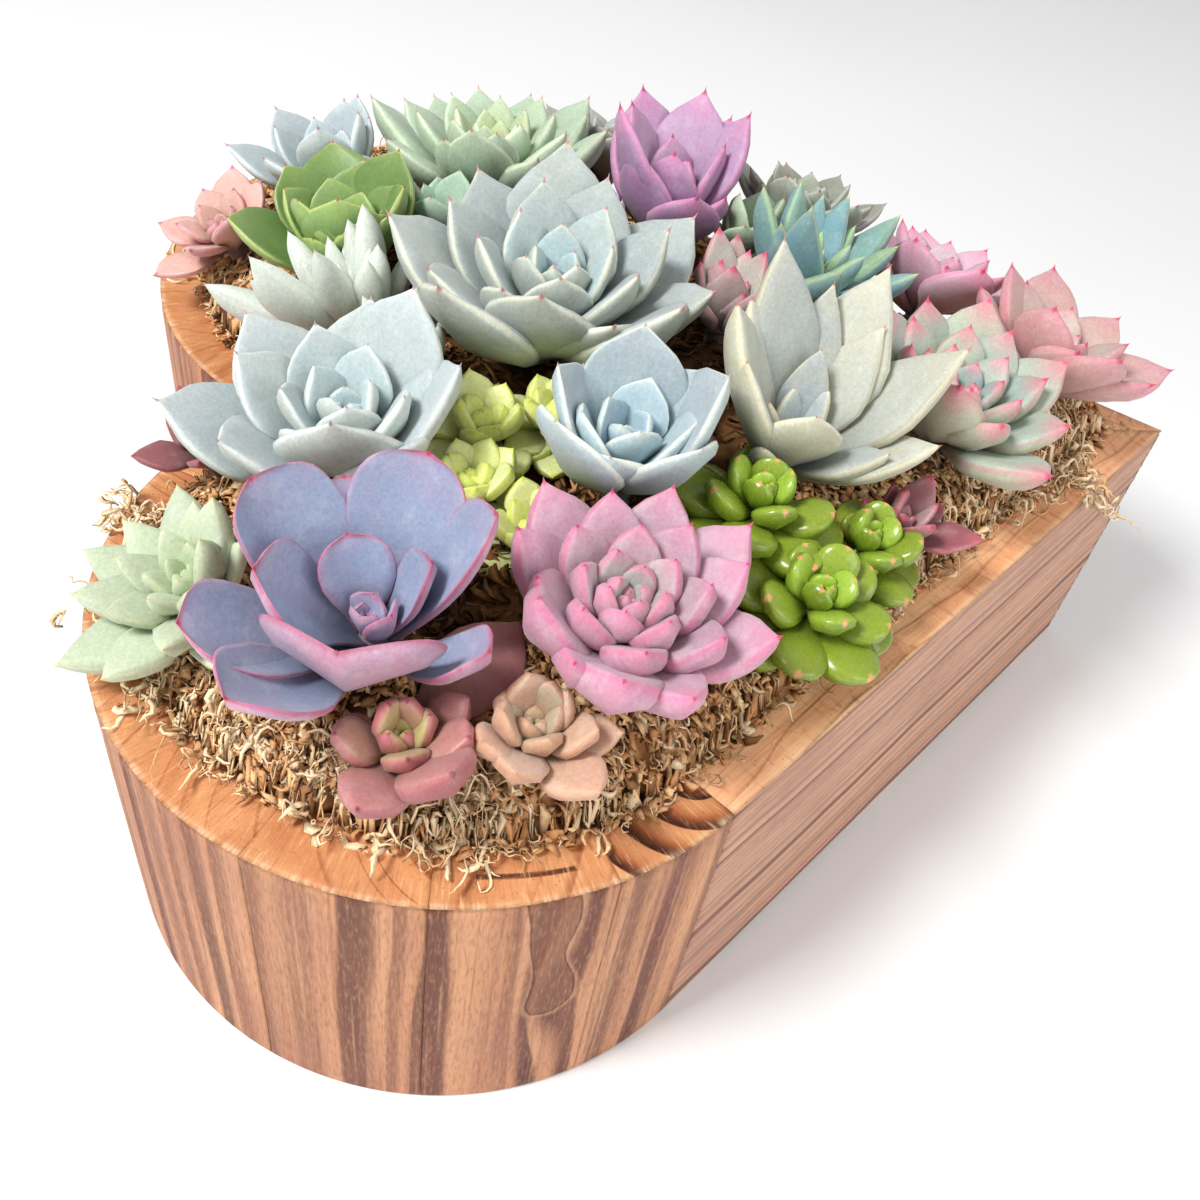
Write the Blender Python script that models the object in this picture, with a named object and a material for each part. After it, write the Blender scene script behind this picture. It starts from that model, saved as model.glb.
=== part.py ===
"""A heart-shaped wooden planter filled with succulent rosettes bedded in dried moss.

Metres, +Z up. The origin is in the middle of the heart's plan, on its underside; the tip points to -Y.
"""

import collections
import itertools
import math

import bmesh
import bpy
import numpy as np
from mathutils.bvhtree import BVHTree

# The planter: boards bent into a heart from two straight sides and two round lobes
MM = 0.001
BOARD_HEIGHT = 0.089
WALL = 0.019
LOBE_RADIUS = 0.0836
HALF_ANGLE = math.radians(39.3)
SIDE_LENGTH = 0.2073
TIP_Y = -0.1485
LOBE_X = SIDE_LENGTH * math.sin(HALF_ANGLE) - LOBE_RADIUS * math.cos(HALF_ANGLE)
LOBE_Y = TIP_Y + SIDE_LENGTH * math.cos(HALF_ANGLE) + LOBE_RADIUS * math.sin(HALF_ANGLE)
NOTCH_ANGLE = math.acos(-LOBE_X / LOBE_RADIUS)
NOTCH_Y = LOBE_Y + LOBE_RADIUS * math.sin(NOTCH_ANGLE)
NOTCH_SLOPE = 0.6

# The moss, as it rises from its lip on the rim to its crown in the middle
MOSS_EDGE_RISE = 0.0045
MOSS_CROWN_RISE = 0.019
MOSS_SLOPE_WIDTH = 0.034
MOSS_LIP = 0.005

# How the plants stand in the moss and beside each other
GOLDEN_ANGLE = 137.508
STEM_MARGIN = 0.0055
CROWN_CLEARANCE = 0.0045
CROWN_DROP_SHARE = 0.22
NEIGHBOUR_REACH = 1.6
NEIGHBOUR_CLEARANCE = 0.0004
NEIGHBOUR_SLOPE = 0.016
MOST_OVERHANG = 0.9

# How a leaf gives way to its neighbours and the moss: it is raised in steps of some degrees, then shortened
LEAF_CLEARANCE = 0.0018
RAISE_STEP = 4
MOST_RAISED = 36
STEEPEST_RISE = 84
SHORTER_SHARE = 0.93
MOST_SHORTENINGS = 12
TESTED_ALONG = (0.3, 0.5, 0.7, 0.85, 1.0)

# How the boards and blocks are cut
INNER_ARC_END = math.radians(135)
ARC_STEP = math.radians(9)
JOINT_GAP = 0.0003
EASED_EDGE = 0.001
BASE_THICKNESS = 0.006
SOIL_TOP = 0.074
POCKET_DEPTH = 0.012

# Where one glued block of a lobe ends and the next begins, in degrees from the side towards the notch
BLOCK_JOINTS = (-39.3, -19, 7, 33, 55, 77, 99, 121, math.degrees(NOTCH_ANGLE))

# The moss's rolled lip and its unevenness
MOSS_LIP_ROLL = 0.002
MOSS_LIP_WAVE = 0.0035
MOSS_LUMP = 0.0011
MOSS_WAVE_TURN = 2.399
MOSS_STEEP_SHARE = 0.35

# Stems and cores: a core's rings as shares of its drop down, of its width up and of its width across
THIN_STEM = 0.0024
THICK_STEM = 0.0035
STEM_TOP_SHARE = 0.3
CORE_SHARE = 0.18
CORE_PROFILE = ((-1, -0.15, 0.45), (-0.4, 0, 1), (0, 0.3, 0.75), (0, 0.6, 0.3))

# Where a leaf's blade has its rings, by the most that the leaf measures
BLADE_STATIONS = ((0.016, (0, 0.66)), (1, (0, 0.38, 0.78)))
LIGHTEN_RATIOS = (0.5, 0.54, 0.58, 0.62, 0.66, 0.7, 0.75, 0.8, 0.9)
SEAM = 0.0000003

# Each kind of leaf, with its half width and half thickness as shares of its length: how far along it
# is widest, how narrow its foot is, how blunt its end, how deep its cup and how long its bristle.
Shape = collections.namedtuple("Shape", "wide thick widest foot blunt cup bristle")
SHAPES = {
    "scoop": Shape(0.36, 0.045, 0.66, 0.26, 3.4, 0.30, 0.04),
    "spoon": Shape(0.38, 0.050, 0.60, 0.24, 1.8, 0.24, 0.05),
    "petal": Shape(0.32, 0.050, 0.60, 0.28, 1.5, 0.14, 0.06),
    "lance": Shape(0.22, 0.060, 0.55, 0.36, 1.25, 0.18, 0.03),
    "dart": Shape(0.17, 0.090, 0.45, 0.55, 1.15, 0.10, 0.03),
    "finger": Shape(0.15, 0.115, 0.50, 0.45, 1.35, 0.00, 0.03),
    "plump": Shape(0.31, 0.110, 0.56, 0.36, 1.5, 0.08, 0.04),
    "bean": Shape(0.29, 0.190, 0.60, 0.34, 2.4, 0.00, 0.00),
}


def plant(name, at, shape, spread, lean=(5, 180), turn=0, core=3, broad=1.0, fat=1.0, cupped=1.0, **more):
    """A plant: crown at (x, y, height above the rim) in mm, lean (degrees, towards), leaf sizes in mm."""
    return dict(
        name=name, at=at, shape=shape, spread=spread, lean=lean, turn=turn, core=core,
        broad=broad, fat=fat, cupped=cupped, **more,
    )


# Rows of leaves set by hand hold azimuth, length, rise, curl and, where it isn't 1, how broad the leaf is,
# from the innermost leaf out.
LAVENDER_LEAVES = (
    (150, 9, 76, 24), (-35, 11, 78, 20), (-130, 13, 66, 30, 0.9), (12, 22, 62, 24, 0.9),
    (92, 31, 54, 50, 0.85), (-78, 25, 62, 30, 0.6), (45, 38, 46, 28, 0.85), (-28, 38, 46, 26, 0.85),
    (168, 32, 58, 74, 1.45), (-78, 41, 28, 24, 0.45), (102, 37, 32, 44, 0.75), (8, 32, 36, 14, 0.55),
    (-124, 33, 34, 56, 0.52), (134, 38, 14, 50, 0.75),
)
VIOLET_LEAVES = (
    (100, 18, 84, 14), (-60, 20, 82, 14), (20, 26, 78, 16), (150, 28, 70, 20), (-110, 30, 70, 18),
    (62, 37, 64, 12), (-24, 40, 66, 12), (100, 42, 58, 12), (-78, 40, 54, 12), (20, 41, 58, 12),
    (-50, 37, 46, 12), (176, 35, 26, 24), (-140, 34, 22, 24), (130, 34, 34, 22), (60, 34, 30, 14),
)
SPIRE_LEAVES = (
    (60, 10, 84, 12), (-110, 12, 82, 12), (160, 14, 78, 14), (20, 18, 78, 14), (-70, 20, 72, 14),
    (110, 22, 66, 14), (-25, 28, 74, 12), (172, 28, 62, 20, 1.7), (42, 40, 62, 12), (-58, 38, 58, 12),
    (98, 36, 48, 16), (-130, 28, 40, 24), (-14, 42, 61, 10, 0.9), (14, 52, 66, 10, 0.85),
    (-42, 50, 56, 12, 1.15), (70, 45, 46, 12), (-86, 49, 24, 14), (-116, 37, 13, 18), (135, 36, 22, 20),
)

PLANTS = (
    plant(
        "lavender_rosette", (-106, 86, 29), "scoop", 46, (10, 165),
        broad=1.0, cupped=1.6, leaves=LAVENDER_LEAVES, colour=(138, 144, 182),
    ),
    plant(
        "pink_rosette", (-104, 36, 31), "petal", 34, (10, 190),
        broad=0.82, fat=2.4, cupped=1.5, count=24, length=(8, 35), rise=(84, 26), curl=56,
        colour=(206, 152, 178),
    ),
    plant(
        "blue_crown_rosette", (-1, 41, 34), "petal", 50, (4, 180),
        broad=0.9, fat=1.5, turn=20, count=21, length=(13, 54), rise=(82, 20), curl=32,
        colour=(172, 190, 190),
    ),
    plant(
        "blue_left_rosette", (-48, 91, 29), "petal", 38, (6, 150),
        broad=1.06, fat=1.5, count=15, length=(14, 41), rise=(80, 24), curl=34, colour=(162, 187, 195),
    ),
    plant(
        "blue_bud_rosette", (-56, 30, 31), "spoon", 27, (4, 180),
        broad=0.9, fat=1.3, count=13, length=(10, 40), rise=(84, 30), curl=28, colour=(145, 180, 198),
    ),
    plant(
        "spire_rosette", (-48, -11, 28), "lance", 48, (6, 190),
        broad=0.98, fat=1.3, leaves=SPIRE_LEAVES, colour=(172, 187, 182),
    ),
    plant(
        "fern_green_rosette", (31, 92, 28), "spoon", 30, (5, 130),
        broad=0.9, fat=1.2, count=17, length=(10, 36), rise=(82, 26), curl=26, colour=(130, 172, 85),
    ),
    plant(
        "silver_rosette", (8, 91, 25), "finger", 29, (18, 55),
        broad=0.95, count=18, length=(10, 42), rise=(86, 24), curl=10, colour=(192, 202, 192),
    ),
    plant(
        "silver_sprig_rosette", (-14, 76, 25), "finger", 21, (10, 120),
        broad=1.0, turn=40, count=12, length=(8, 30), rise=(86, 26), curl=10, colour=(192, 202, 192),
    ),
    plant(
        "dusk_rosette", (77, 97, 23), "petal", 27, (8, 100),
        broad=0.9, fat=1.2, count=15, length=(9, 31), rise=(86, 30), curl=24, colour=(165, 180, 190),
    ),
    plant(
        "mint_rosette", (77, 51, 31), "petal", 42, (8, 10),
        broad=0.76, fat=1.9, count=25, length=(8, 42), rise=(86, 22), curl=30, colour=(165, 200, 165),
    ),
    plant(
        "violet_rosette", (54, 1, 29), "petal", 34, (5, -30),
        broad=0.92, fat=1.3, cupped=0.7, leaves=VIOLET_LEAVES, colour=(168, 128, 168),
    ),
    plant(
        "sage_rosette", (61, -41, 29), "petal", 25, (14, -30),
        broad=0.9, fat=1.2, turn=14, count=15, length=(8, 33), rise=(84, 18), curl=16,
        colour=(145, 160, 145),
    ),
    plant(
        "teal_rosette", (24, -31, 25), "dart", 32, (10, -50),
        broad=1.2, fat=1.0, count=19, length=(12, 40), rise=(86, 26), curl=10, colour=(125, 175, 170),
    ),
    plant(
        "mauve_rosette", (36, -77, 22), "petal", 25, (12, -40),
        fat=1.3, count=15, length=(8, 35), rise=(84, 10), curl=20, colour=(185, 140, 175),
    ),
    plant(
        "peach_rosette", (-2, -98, 20), "petal", 31, (12, -70),
        broad=0.95, fat=1.6, count=15, length=(10, 42), rise=(80, 8), curl=20, colour=(205, 165, 160),
    ),
    plant(
        "ruby_tip_rosette", (-29, -60, 26), "petal", 32, (8, -120),
        broad=0.88, fat=2.0, count=21, length=(8, 38), rise=(86, 24), curl=30, colour=(170, 195, 182),
    ),
    plant(
        "sedum_head_a", (-41, 60, 28), "petal", 15, (5, 180),
        broad=1.12, fat=2.4, count=8, length=(5, 17), rise=(80, 16), curl=26, core=2,
        colour=(190, 200, 90),
    ),
    plant(
        "sedum_head_b", (-38, 43, 29), "petal", 15, (5, 200),
        broad=1.12, fat=2.4, turn=15, count=8, length=(5, 17), rise=(80, 16), curl=26, core=2,
        colour=(190, 200, 90),
    ),
    plant(
        "sedum_head_c", (-59, 64, 25), "petal", 15, (8, 150),
        broad=1.12, fat=2.4, count=8, length=(5, 17), rise=(80, 16), curl=26, core=2,
        colour=(190, 200, 90),
    ),
    plant(
        "sedum_head_d", (-71, 51, 22), "petal", 15, (8, 180),
        broad=1.12, fat=2.4, count=8, length=(5, 17), rise=(80, 16), curl=26, core=2,
        colour=(190, 200, 90),
    ),
    plant(
        "bead_head_a", (-68, 0, 29), "bean", 19, (5, 200),
        broad=1.2, count=9, length=(9, 21), rise=(80, 0), curl=18, core=2, colour=(125, 165, 50),
    ),
    plant(
        "bead_head_b", (-90, -10, 20), "bean", 19, (14, 210),
        broad=1.2, count=9, length=(9, 21), rise=(80, 0), curl=18, core=2, colour=(125, 165, 50),
    ),
    plant(
        "bead_head_c", (-71, -27, 19), "bean", 16, (10, 220),
        broad=1.2, count=8, length=(8, 19), rise=(80, 0), curl=18, core=2, colour=(125, 165, 50),
    ),
    plant(
        "rose_rosette", (-124, 80, 17), "petal", 23, (10, 180),
        broad=0.98, fat=2.6, cupped=0.8, count=10, length=(8, 25), rise=(78, 22), curl=30,
        colour=(165, 90, 95),
    ),
    plant(
        "apricot_rosette", (-123, 55, 18), "petal", 19, (10, 190),
        broad=0.95, fat=2.3, cupped=1.2, count=12, length=(8, 24), rise=(78, 24), curl=30,
        colour=(205, 160, 130),
    ),
    plant(
        "celadon_rosette", (-86, 121, 19), "lance", 23, (18, 115),
        broad=1.15, fat=2.0, cupped=0.5, count=21, length=(7, 28), rise=(86, 6), curl=14,
        colour=(180, 200, 165),
    ),
    plant(
        "garnet_rosette", (-62, -39, 16), "lance", 15, (12, -140),
        broad=1.25, count=9, length=(8, 24), rise=(76, 8), curl=16, colour=(150, 95, 105),
    ),
    plant(
        "wine_rosette", (-38, 123, 17), "lance", 11, (20, 120),
        broad=1.4, count=7, length=(7, 18), rise=(76, 16), curl=14, colour=(130, 70, 75),
    ),
    plant(
        "mocha_rosette", (55, 127, 18), "petal", 19, (18, 100),
        broad=1.05, count=11, length=(7, 21), rise=(76, 10), curl=18, colour=(180, 125, 115),
    ),
    plant(
        "blush_rosette", (13, -8, 24), "lance", 24, (5, 200),
        broad=1.1, count=11, length=(9, 34), rise=(84, 24), curl=12, colour=(175, 185, 165),
    ),
    plant(
        "ash_rosette", (107, 12, 23), "petal", 27, (16, -10),
        count=15, length=(8, 34), rise=(82, 6), curl=16, colour=(165, 175, 170),
    ),
    plant(
        "jade_sprig_rosette", (46, 66, 26), "petal", 23, (5, 0),
        broad=1.1, count=9, length=(8, 30), rise=(80, 20), curl=18, colour=(140, 175, 150),
    ),
    plant(
        "slate_sprig_rosette", (44, 25, 27), "petal", 22, (5, 0),
        broad=1.1, count=9, length=(8, 30), rise=(80, 20), curl=18, colour=(150, 170, 175),
    ),
    plant(
        "lime_sprig_rosette", (47, -21, 26), "petal", 24, (5, 0),
        broad=1.1, count=10, length=(8, 28), rise=(80, 20), curl=18, colour=(155, 185, 120),
    ),
    plant(
        "coral_sprig_rosette", (114, 48, 18), "petal", 20, (12, 0),
        fat=1.2, count=9, length=(8, 25), rise=(78, 6), curl=18, colour=(200, 150, 140),
    ),
)


def depth_inside(x, y):
    """How far a point lies inside the heart's outer outline, negative outside it."""
    x = abs(x)
    side = x * -math.cos(HALF_ANGLE) + (y - TIP_Y) * math.sin(HALF_ANGLE)
    lobe = LOBE_RADIUS - math.hypot(x - LOBE_X, y - LOBE_Y)
    foot = x * math.sin(HALF_ANGLE) + (y - TIP_Y) * math.cos(HALF_ANGLE)
    if foot < SIDE_LENGTH and y < LOBE_Y:
        return max(side, lobe)
    notch = NOTCH_Y - y + NOTCH_SLOPE * x
    return max(lobe, notch) if x < LOBE_X / 2 else lobe


def moss_rise(depth):
    """Height of the moss above the rim at a depth inside the outline."""
    share = min(max((depth - WALL + MOSS_LIP) / MOSS_SLOPE_WIDTH, 0.0), 1.0)
    return MOSS_EDGE_RISE + (MOSS_CROWN_RISE - MOSS_EDGE_RISE) * math.sin(share * math.pi / 2)


def half_width(shape, along):
    """Half width of a leaf as a share of its widest, from its foot to its end."""
    growth = np.sin(np.clip(along / shape.widest, 0, 1) * math.pi / 2) ** 1.8
    end = np.clip((along - shape.widest) / (1 - shape.widest), 0, 1)
    taper = (1 - end**shape.blunt) ** (1 / max(1.0, shape.blunt * 0.85))
    return np.where(along < shape.widest, shape.foot + (1 - shape.foot) * growth, taper)


def half_thickness(along):
    """Half thickness of a leaf as a share of its thickest."""
    swell = 0.55 + 0.45 * np.sin(np.clip(along / 0.7, 0, 1) * math.pi / 2)
    return swell * (1 - np.clip((along - 0.45) / 0.55, 0, 1) ** 2.2) ** 0.6


def leaf_points(leaf, along, around):
    """Points of a leaf's skin in its rosette's frame: around is 0 at an edge and a right angle on top."""
    along, around = np.broadcast_arrays(np.asarray(along, float), np.asarray(around, float))
    shape = SHAPES[leaf["shape"]]
    length = leaf["length"]
    azimuth = math.radians(leaf["azimuth"])
    start = math.radians(leaf["rise"] - leaf["curl"] / 2)
    bend = math.radians(leaf["curl"])
    slope = start + bend * along
    out = leaf["out"] + length * (np.sin(slope) - math.sin(start)) / bend
    up = leaf["up"] + length * (math.cos(start) - np.cos(slope)) / bend
    width = length * shape.wide * leaf["broad"] * half_width(shape, np.clip(along, 0, 1))
    thick = max(length * shape.thick, 0.0007) * leaf["fat"] * half_thickness(np.clip(along, 0, 1))
    across = width * np.cos(around)
    lower = np.where(np.sin(around) < 0, 1.25, 0.75)
    above = shape.cup * leaf["cupped"] * width * np.cos(around) ** 2 + thick * lower * np.sin(around)
    x = (out - np.sin(slope) * above) * math.cos(azimuth) - across * math.sin(azimuth)
    y = (out - np.sin(slope) * above) * math.sin(azimuth) + across * math.cos(azimuth)
    return np.stack([x, y, up + np.cos(slope) * above], -1)


def lean_matrix(plant):
    """Turns a rosette's upright frame by the plant's lean."""
    lean, towards = (math.radians(value) for value in plant["lean"])
    east, north = math.cos(towards), math.sin(towards)
    axis = np.array([[0, 0, east], [0, 0, north], [-east, -north, 0]])
    return np.eye(3) + math.sin(lean) * axis + (1 - math.cos(lean)) * axis @ axis


def crown_of(plant):
    """Where the plant's leaves spring from."""
    x, y, rise = plant["at"]
    return np.array([x * MM, y * MM, BOARD_HEIGHT + rise * MM])


def root_of(plant):
    """Where the plant's stem stands in the soil: under its crown, or the nearest place inside the wall."""
    x, y, _ = crown_of(plant)
    while depth_inside(x, y) < WALL + STEM_MARGIN:
        inward = np.array([depth_inside(x + MM, y), depth_inside(x, y + MM)]) - depth_inside(x, y)
        x, y = np.array([x, y]) + inward / np.linalg.norm(inward) * MM / 4
    return np.array([x, y])


def crown_drop(plant):
    """How far below its crown a plant's lowest leaves spring from its core."""
    longest = max(row[1] for row in plant["leaves"]) if "leaves" in plant else plant["length"][1]
    room = plant["at"][2] * MM - moss_rise(depth_inside(*root_of(plant))) - CROWN_CLEARANCE
    return max(min(CROWN_DROP_SHARE * longest * MM, room), MM)


def in_place(plant, points):
    """Points of a rosette's frame where they stand in the planter."""
    return points @ lean_matrix(plant).T + crown_of(plant)


def wished_leaves(plant):
    """The leaves of a plant before its neighbours press on them, from the innermost out."""
    leaves = []
    if "leaves" in plant:
        rows = plant["leaves"]
    else:
        rows = []
        for number in range(plant["count"]):
            share = number / (plant["count"] - 1)
            length = plant["length"][0] + (plant["length"][1] - plant["length"][0]) * share**0.8
            rise = plant["rise"][0] + (plant["rise"][1] - plant["rise"][0]) * share**0.9
            rows.append((plant["turn"] + number * GOLDEN_ANGLE, length, rise, plant["curl"]))
    drop = crown_drop(plant)
    for number, (azimuth, length, rise, curl, *broader) in enumerate(rows):
        share = number / (len(rows) - 1)
        leaves.append(
            dict(
                shape=plant["shape"], azimuth=azimuth, length=length * MM, rise=rise, curl=curl,
                out=plant["core"] * MM * share, up=-drop * share,
                broad=plant["broad"] * (broader[0] if broader else 1), fat=plant["fat"],
                cupped=plant["cupped"],
            )
        )
    return leaves


def walls_between(plants):
    """For each plant, the planes (normal, offset) that part it from its neighbours."""
    walls = {plant["name"]: [] for plant in plants}
    for first, second in itertools.combinations(plants, 2):
        a, b = crown_of(first), crown_of(second)
        gap = b - a
        gap[2] = 0
        distance = np.linalg.norm(gap)
        both = (first["spread"] + second["spread"]) * MM
        if distance > NEIGHBOUR_REACH * both:
            continue
        middle = a + gap * first["spread"] * MM / both
        middle[2] = (a[2] + b[2]) / 2
        normal = gap / distance
        normal[2] = -np.clip((a[2] - b[2]) / NEIGHBOUR_SLOPE, -MOST_OVERHANG, MOST_OVERHANG)
        normal /= np.linalg.norm(normal)
        walls[first["name"]].append((normal, normal @ middle - NEIGHBOUR_CLEARANCE))
        walls[second["name"]].append((-normal, -normal @ middle - NEIGHBOUR_CLEARANCE))
    return walls


def leaf_fits(plant, leaf, walls):
    """Whether a leaf stays on its own side of each wall and above the moss."""
    around = np.arange(4) * math.pi / 2
    skin = leaf_points(leaf, np.array(TESTED_ALONG)[:, None], around)
    points = in_place(plant, skin).reshape(-1, 3)
    if any((points @ normal).max() > offset for normal, offset in walls):
        return False
    return all(z > BOARD_HEIGHT + moss_rise(depth_inside(x, y)) + LEAF_CLEARANCE for x, y, z in points)


def fitted_leaf(plant, leaf, walls):
    """The leaf raised, and then shortened, until it fits."""
    for shorter in range(MOST_SHORTENINGS):
        for raised in range(0, MOST_RAISED, RAISE_STEP):
            trial = dict(leaf)
            trial["length"] = leaf["length"] * SHORTER_SHARE**shorter
            trial["rise"] = min(leaf["rise"] + raised, max(leaf["rise"], STEEPEST_RISE))
            if leaf_fits(plant, trial, walls):
                return trial
    return trial


def planted(plants):
    """Each plant's name with its leaves as they fit between their neighbours."""
    walls = walls_between(plants)
    return {
        plant["name"]: [fitted_leaf(plant, leaf, walls[plant["name"]]) for leaf in wished_leaves(plant)]
        for plant in plants
    }


def material(name, rgb, roughness):
    """A plain finish in sRGB values of 0 to 255."""
    made = bpy.data.materials.new(name)
    made.use_nodes = True
    shader = made.node_tree.nodes["Principled BSDF"]
    shader.inputs["Base Color"].default_value = (*[(value / 255) ** 2.2 for value in rgb], 1)
    shader.inputs["Roughness"].default_value = roughness
    shader.inputs["Metallic"].default_value = 0
    return made


def object_of(name, built, finish):
    """Makes an object of a bmesh, with its faces turned outwards."""
    bmesh.ops.recalc_face_normals(built, faces=built.faces)
    mesh = bpy.data.meshes.new(name)
    built.to_mesh(mesh)
    built.free()
    mesh.materials.append(finish)
    made = bpy.data.objects.new(name, mesh)
    bpy.context.collection.objects.link(made)
    return made


def loft(built, rings):
    """Joins closed rings of points, one after the other, and caps both ends."""
    loops = [[built.verts.new(point) for point in ring] for ring in rings]
    for first, second in itertools.pairwise(loops):
        for a, b in zip(range(-1, len(first) - 1), range(len(first))):
            built.faces.new((first[a], first[b], second[b], second[a]))
    built.faces.new(reversed(loops[0]))
    built.faces.new(loops[-1])


def arc(inset, first, last):
    """Points on the right lobe at an inset from its outside, from one angle to another."""
    count = max(1, round((last - first) / ARC_STEP))
    angles = [first + (last - first) * index / count for index in range(count + 1)]
    radius = LOBE_RADIUS - inset
    return [(LOBE_X + radius * math.cos(a), LOBE_Y + radius * math.sin(a)) for a in angles]


def heart_outline(inset):
    """The heart's outline at an inset from its outside, counter-clockwise from the tip."""
    right = arc(inset, -HALF_ANGLE, INNER_ARC_END)
    left = [(-x, y) for x, y in reversed(right)]
    notch = (0, NOTCH_Y - inset - JOINT_GAP)
    return [(0, TIP_Y + inset / math.sin(HALF_ANGLE)), *right, notch, *left]


def eased(point):
    """A point of the outer outline, moved in by the width of the eased edge."""
    x, y = point
    across = abs(x)
    foot = across * math.sin(HALF_ANGLE) + (y - TIP_Y) * math.cos(HALF_ANGLE)
    if foot < SIDE_LENGTH and y < LOBE_Y:
        inward = (-math.cos(HALF_ANGLE), math.sin(HALF_ANGLE))
    else:
        inward = ((LOBE_X - across) / LOBE_RADIUS, (LOBE_Y - y) / LOBE_RADIUS)
    return (math.copysign(across + inward[0] * EASED_EDGE, x), y + inward[1] * EASED_EDGE)


def prism(name, outline, bottom, top, finish, eased_points=()):
    """An upright block, with the edge at its foot eased at the points whose index is given."""
    built = bmesh.new()
    rings = [[(*point, height) for point in outline] for height in (bottom, top)]
    if eased_points:
        rings.insert(1, [(*point, bottom + EASED_EDGE) for point in outline])
        rings[0] = [
            (*(eased(point) if index in eased_points else point), bottom)
            for index, point in enumerate(outline)
        ]
    loft(built, rings)
    return object_of(name, built, finish)


def lobe_block(name, side, first, last, finish):
    """One glued block of a lobe's ring, from one joint to the next."""
    outer_gap = JOINT_GAP / 2 / LOBE_RADIUS
    inner_gap = JOINT_GAP / 2 / (LOBE_RADIUS - WALL)
    outer = arc(0, first + outer_gap, last - outer_gap)
    if last < NOTCH_ANGLE:
        inner = arc(WALL, first + inner_gap, last - inner_gap)
    else:
        inner = [*arc(WALL, first + inner_gap, INNER_ARC_END), (JOINT_GAP / 2, NOTCH_Y - WALL)]
        outer[-1] = (JOINT_GAP / 2, NOTCH_Y)
    outline = [(x * side, y) for x, y in outer + inner[::-1]]
    return prism(name, outline, 0, BOARD_HEIGHT, finish, range(len(outer)))


def side_board(name, side, finish):
    """One straight board, mitred at the tip and square where it meets the lobe."""
    gap = JOINT_GAP / 2
    mitre = gap / math.sin(HALF_ANGLE)

    def at(forward, inward):
        x = forward * math.sin(HALF_ANGLE) - inward * math.cos(HALF_ANGLE)
        y = TIP_Y + forward * math.cos(HALF_ANGLE) + inward * math.sin(HALF_ANGLE)
        return (x * side, y)

    outline = [at(mitre, 0), at(SIDE_LENGTH - gap, 0), at(SIDE_LENGTH - gap, WALL)]
    outline.append(at(mitre + WALL / math.tan(HALF_ANGLE), WALL))
    return prism(name, outline, 0, BOARD_HEIGHT, finish, (0, 1))


def planter(wood, plywood):
    """The two straight sides, the two rings of glued blocks and the base between them."""
    for word, side in (("left", -1), ("right", 1)):
        side_board(f"side_board_{word}", side, wood)
        for number, (first, last) in enumerate(itertools.pairwise(map(math.radians, BLOCK_JOINTS)), 1):
            lobe_block(f"lobe_block_{word}_{number}", side, first, last, wood)
    prism("base_board", heart_outline(WALL + JOINT_GAP), 0, BASE_THICKNESS, plywood)


def joined(target, others, operation):
    """Joins or cuts the target with other objects in one Boolean step, and removes them."""
    group = bpy.data.collections.new("operands")
    for other in others:
        group.objects.link(other)
    step = target.modifiers.new("join", "BOOLEAN")
    step.operation = operation
    step.operand_type = "COLLECTION"
    step.collection = group
    graph = bpy.context.evaluated_depsgraph_get()
    result = bpy.data.meshes.new_from_object(target.evaluated_get(graph))
    target.modifiers.remove(step)
    target.data = outer_shell(result)
    for other in others:
        bpy.data.objects.remove(other)
    bpy.data.collections.remove(group)
    return target


def outer_shell(mesh):
    """Keeps a mesh's largest shell: the hollows that joined leaves seal are filled, and scraps dropped."""
    built = bmesh.new()
    built.from_mesh(mesh)
    unseen = set(built.verts)
    shells = []
    while unseen:
        shell = {unseen.pop()}
        ends = list(shell)
        while ends:
            end = ends.pop()
            near = {edge.other_vert(end) for edge in end.link_edges} & unseen
            unseen -= near
            shell |= near
            ends += near
        shells.append(shell)
    kept = max(shells, key=len)
    bmesh.ops.delete(built, geom=[vert for vert in built.verts if vert not in kept], context="VERTS")
    built.to_mesh(mesh)
    built.free()
    return mesh


def meets_itself(mesh):
    """Whether two faces of a mesh that share no corner meet, or an edge has more than two faces."""
    built = bmesh.new()
    built.from_mesh(mesh)
    bmesh.ops.remove_doubles(built, verts=built.verts, dist=SEAM)
    built.faces.ensure_lookup_table()
    corners = [{vert.index for vert in face.verts} for face in built.faces]
    tree = BVHTree.FromBMesh(built)
    met = any(not corners[a] & corners[b] for a, b in tree.overlap(tree))
    met = met or any(len(edge.link_faces) != 2 for edge in built.edges)
    built.free()
    return met


def lightened(target):
    """Collapses a joined body's smallest faces, as far as it goes before any two faces cross."""
    step = target.modifiers.new("lighten", "DECIMATE")
    for ratio in LIGHTEN_RATIOS:
        step.ratio = ratio
        graph = bpy.context.evaluated_depsgraph_get()
        result = bpy.data.meshes.new_from_object(target.evaluated_get(graph))
        if not meets_itself(result):
            target.data = result
            break
    target.modifiers.remove(step)


def hexagon(centre, radius):
    """The corners of a level hexagon."""
    x, y, z = centre
    turns = [index * math.pi / 3 for index in range(6)]
    return [(x + radius * math.cos(a), y + radius * math.sin(a), z) for a in turns]


def stem_radius(plant):
    """Small heads stand on thin stems."""
    return THIN_STEM if plant["core"] < 3 else THICK_STEM


def stem_holes(bottom, top, finish):
    """Cutters for every stem, each a gap wider than its stem."""
    holes = []
    for plant in PLANTS:
        built = bmesh.new()
        radius = stem_radius(plant) + JOINT_GAP / math.cos(math.pi / 6)
        loft(built, [hexagon((*root_of(plant), height), radius) for height in (bottom, top)])
        holes.append(object_of("stem_hole", built, finish))
    return holes


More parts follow.
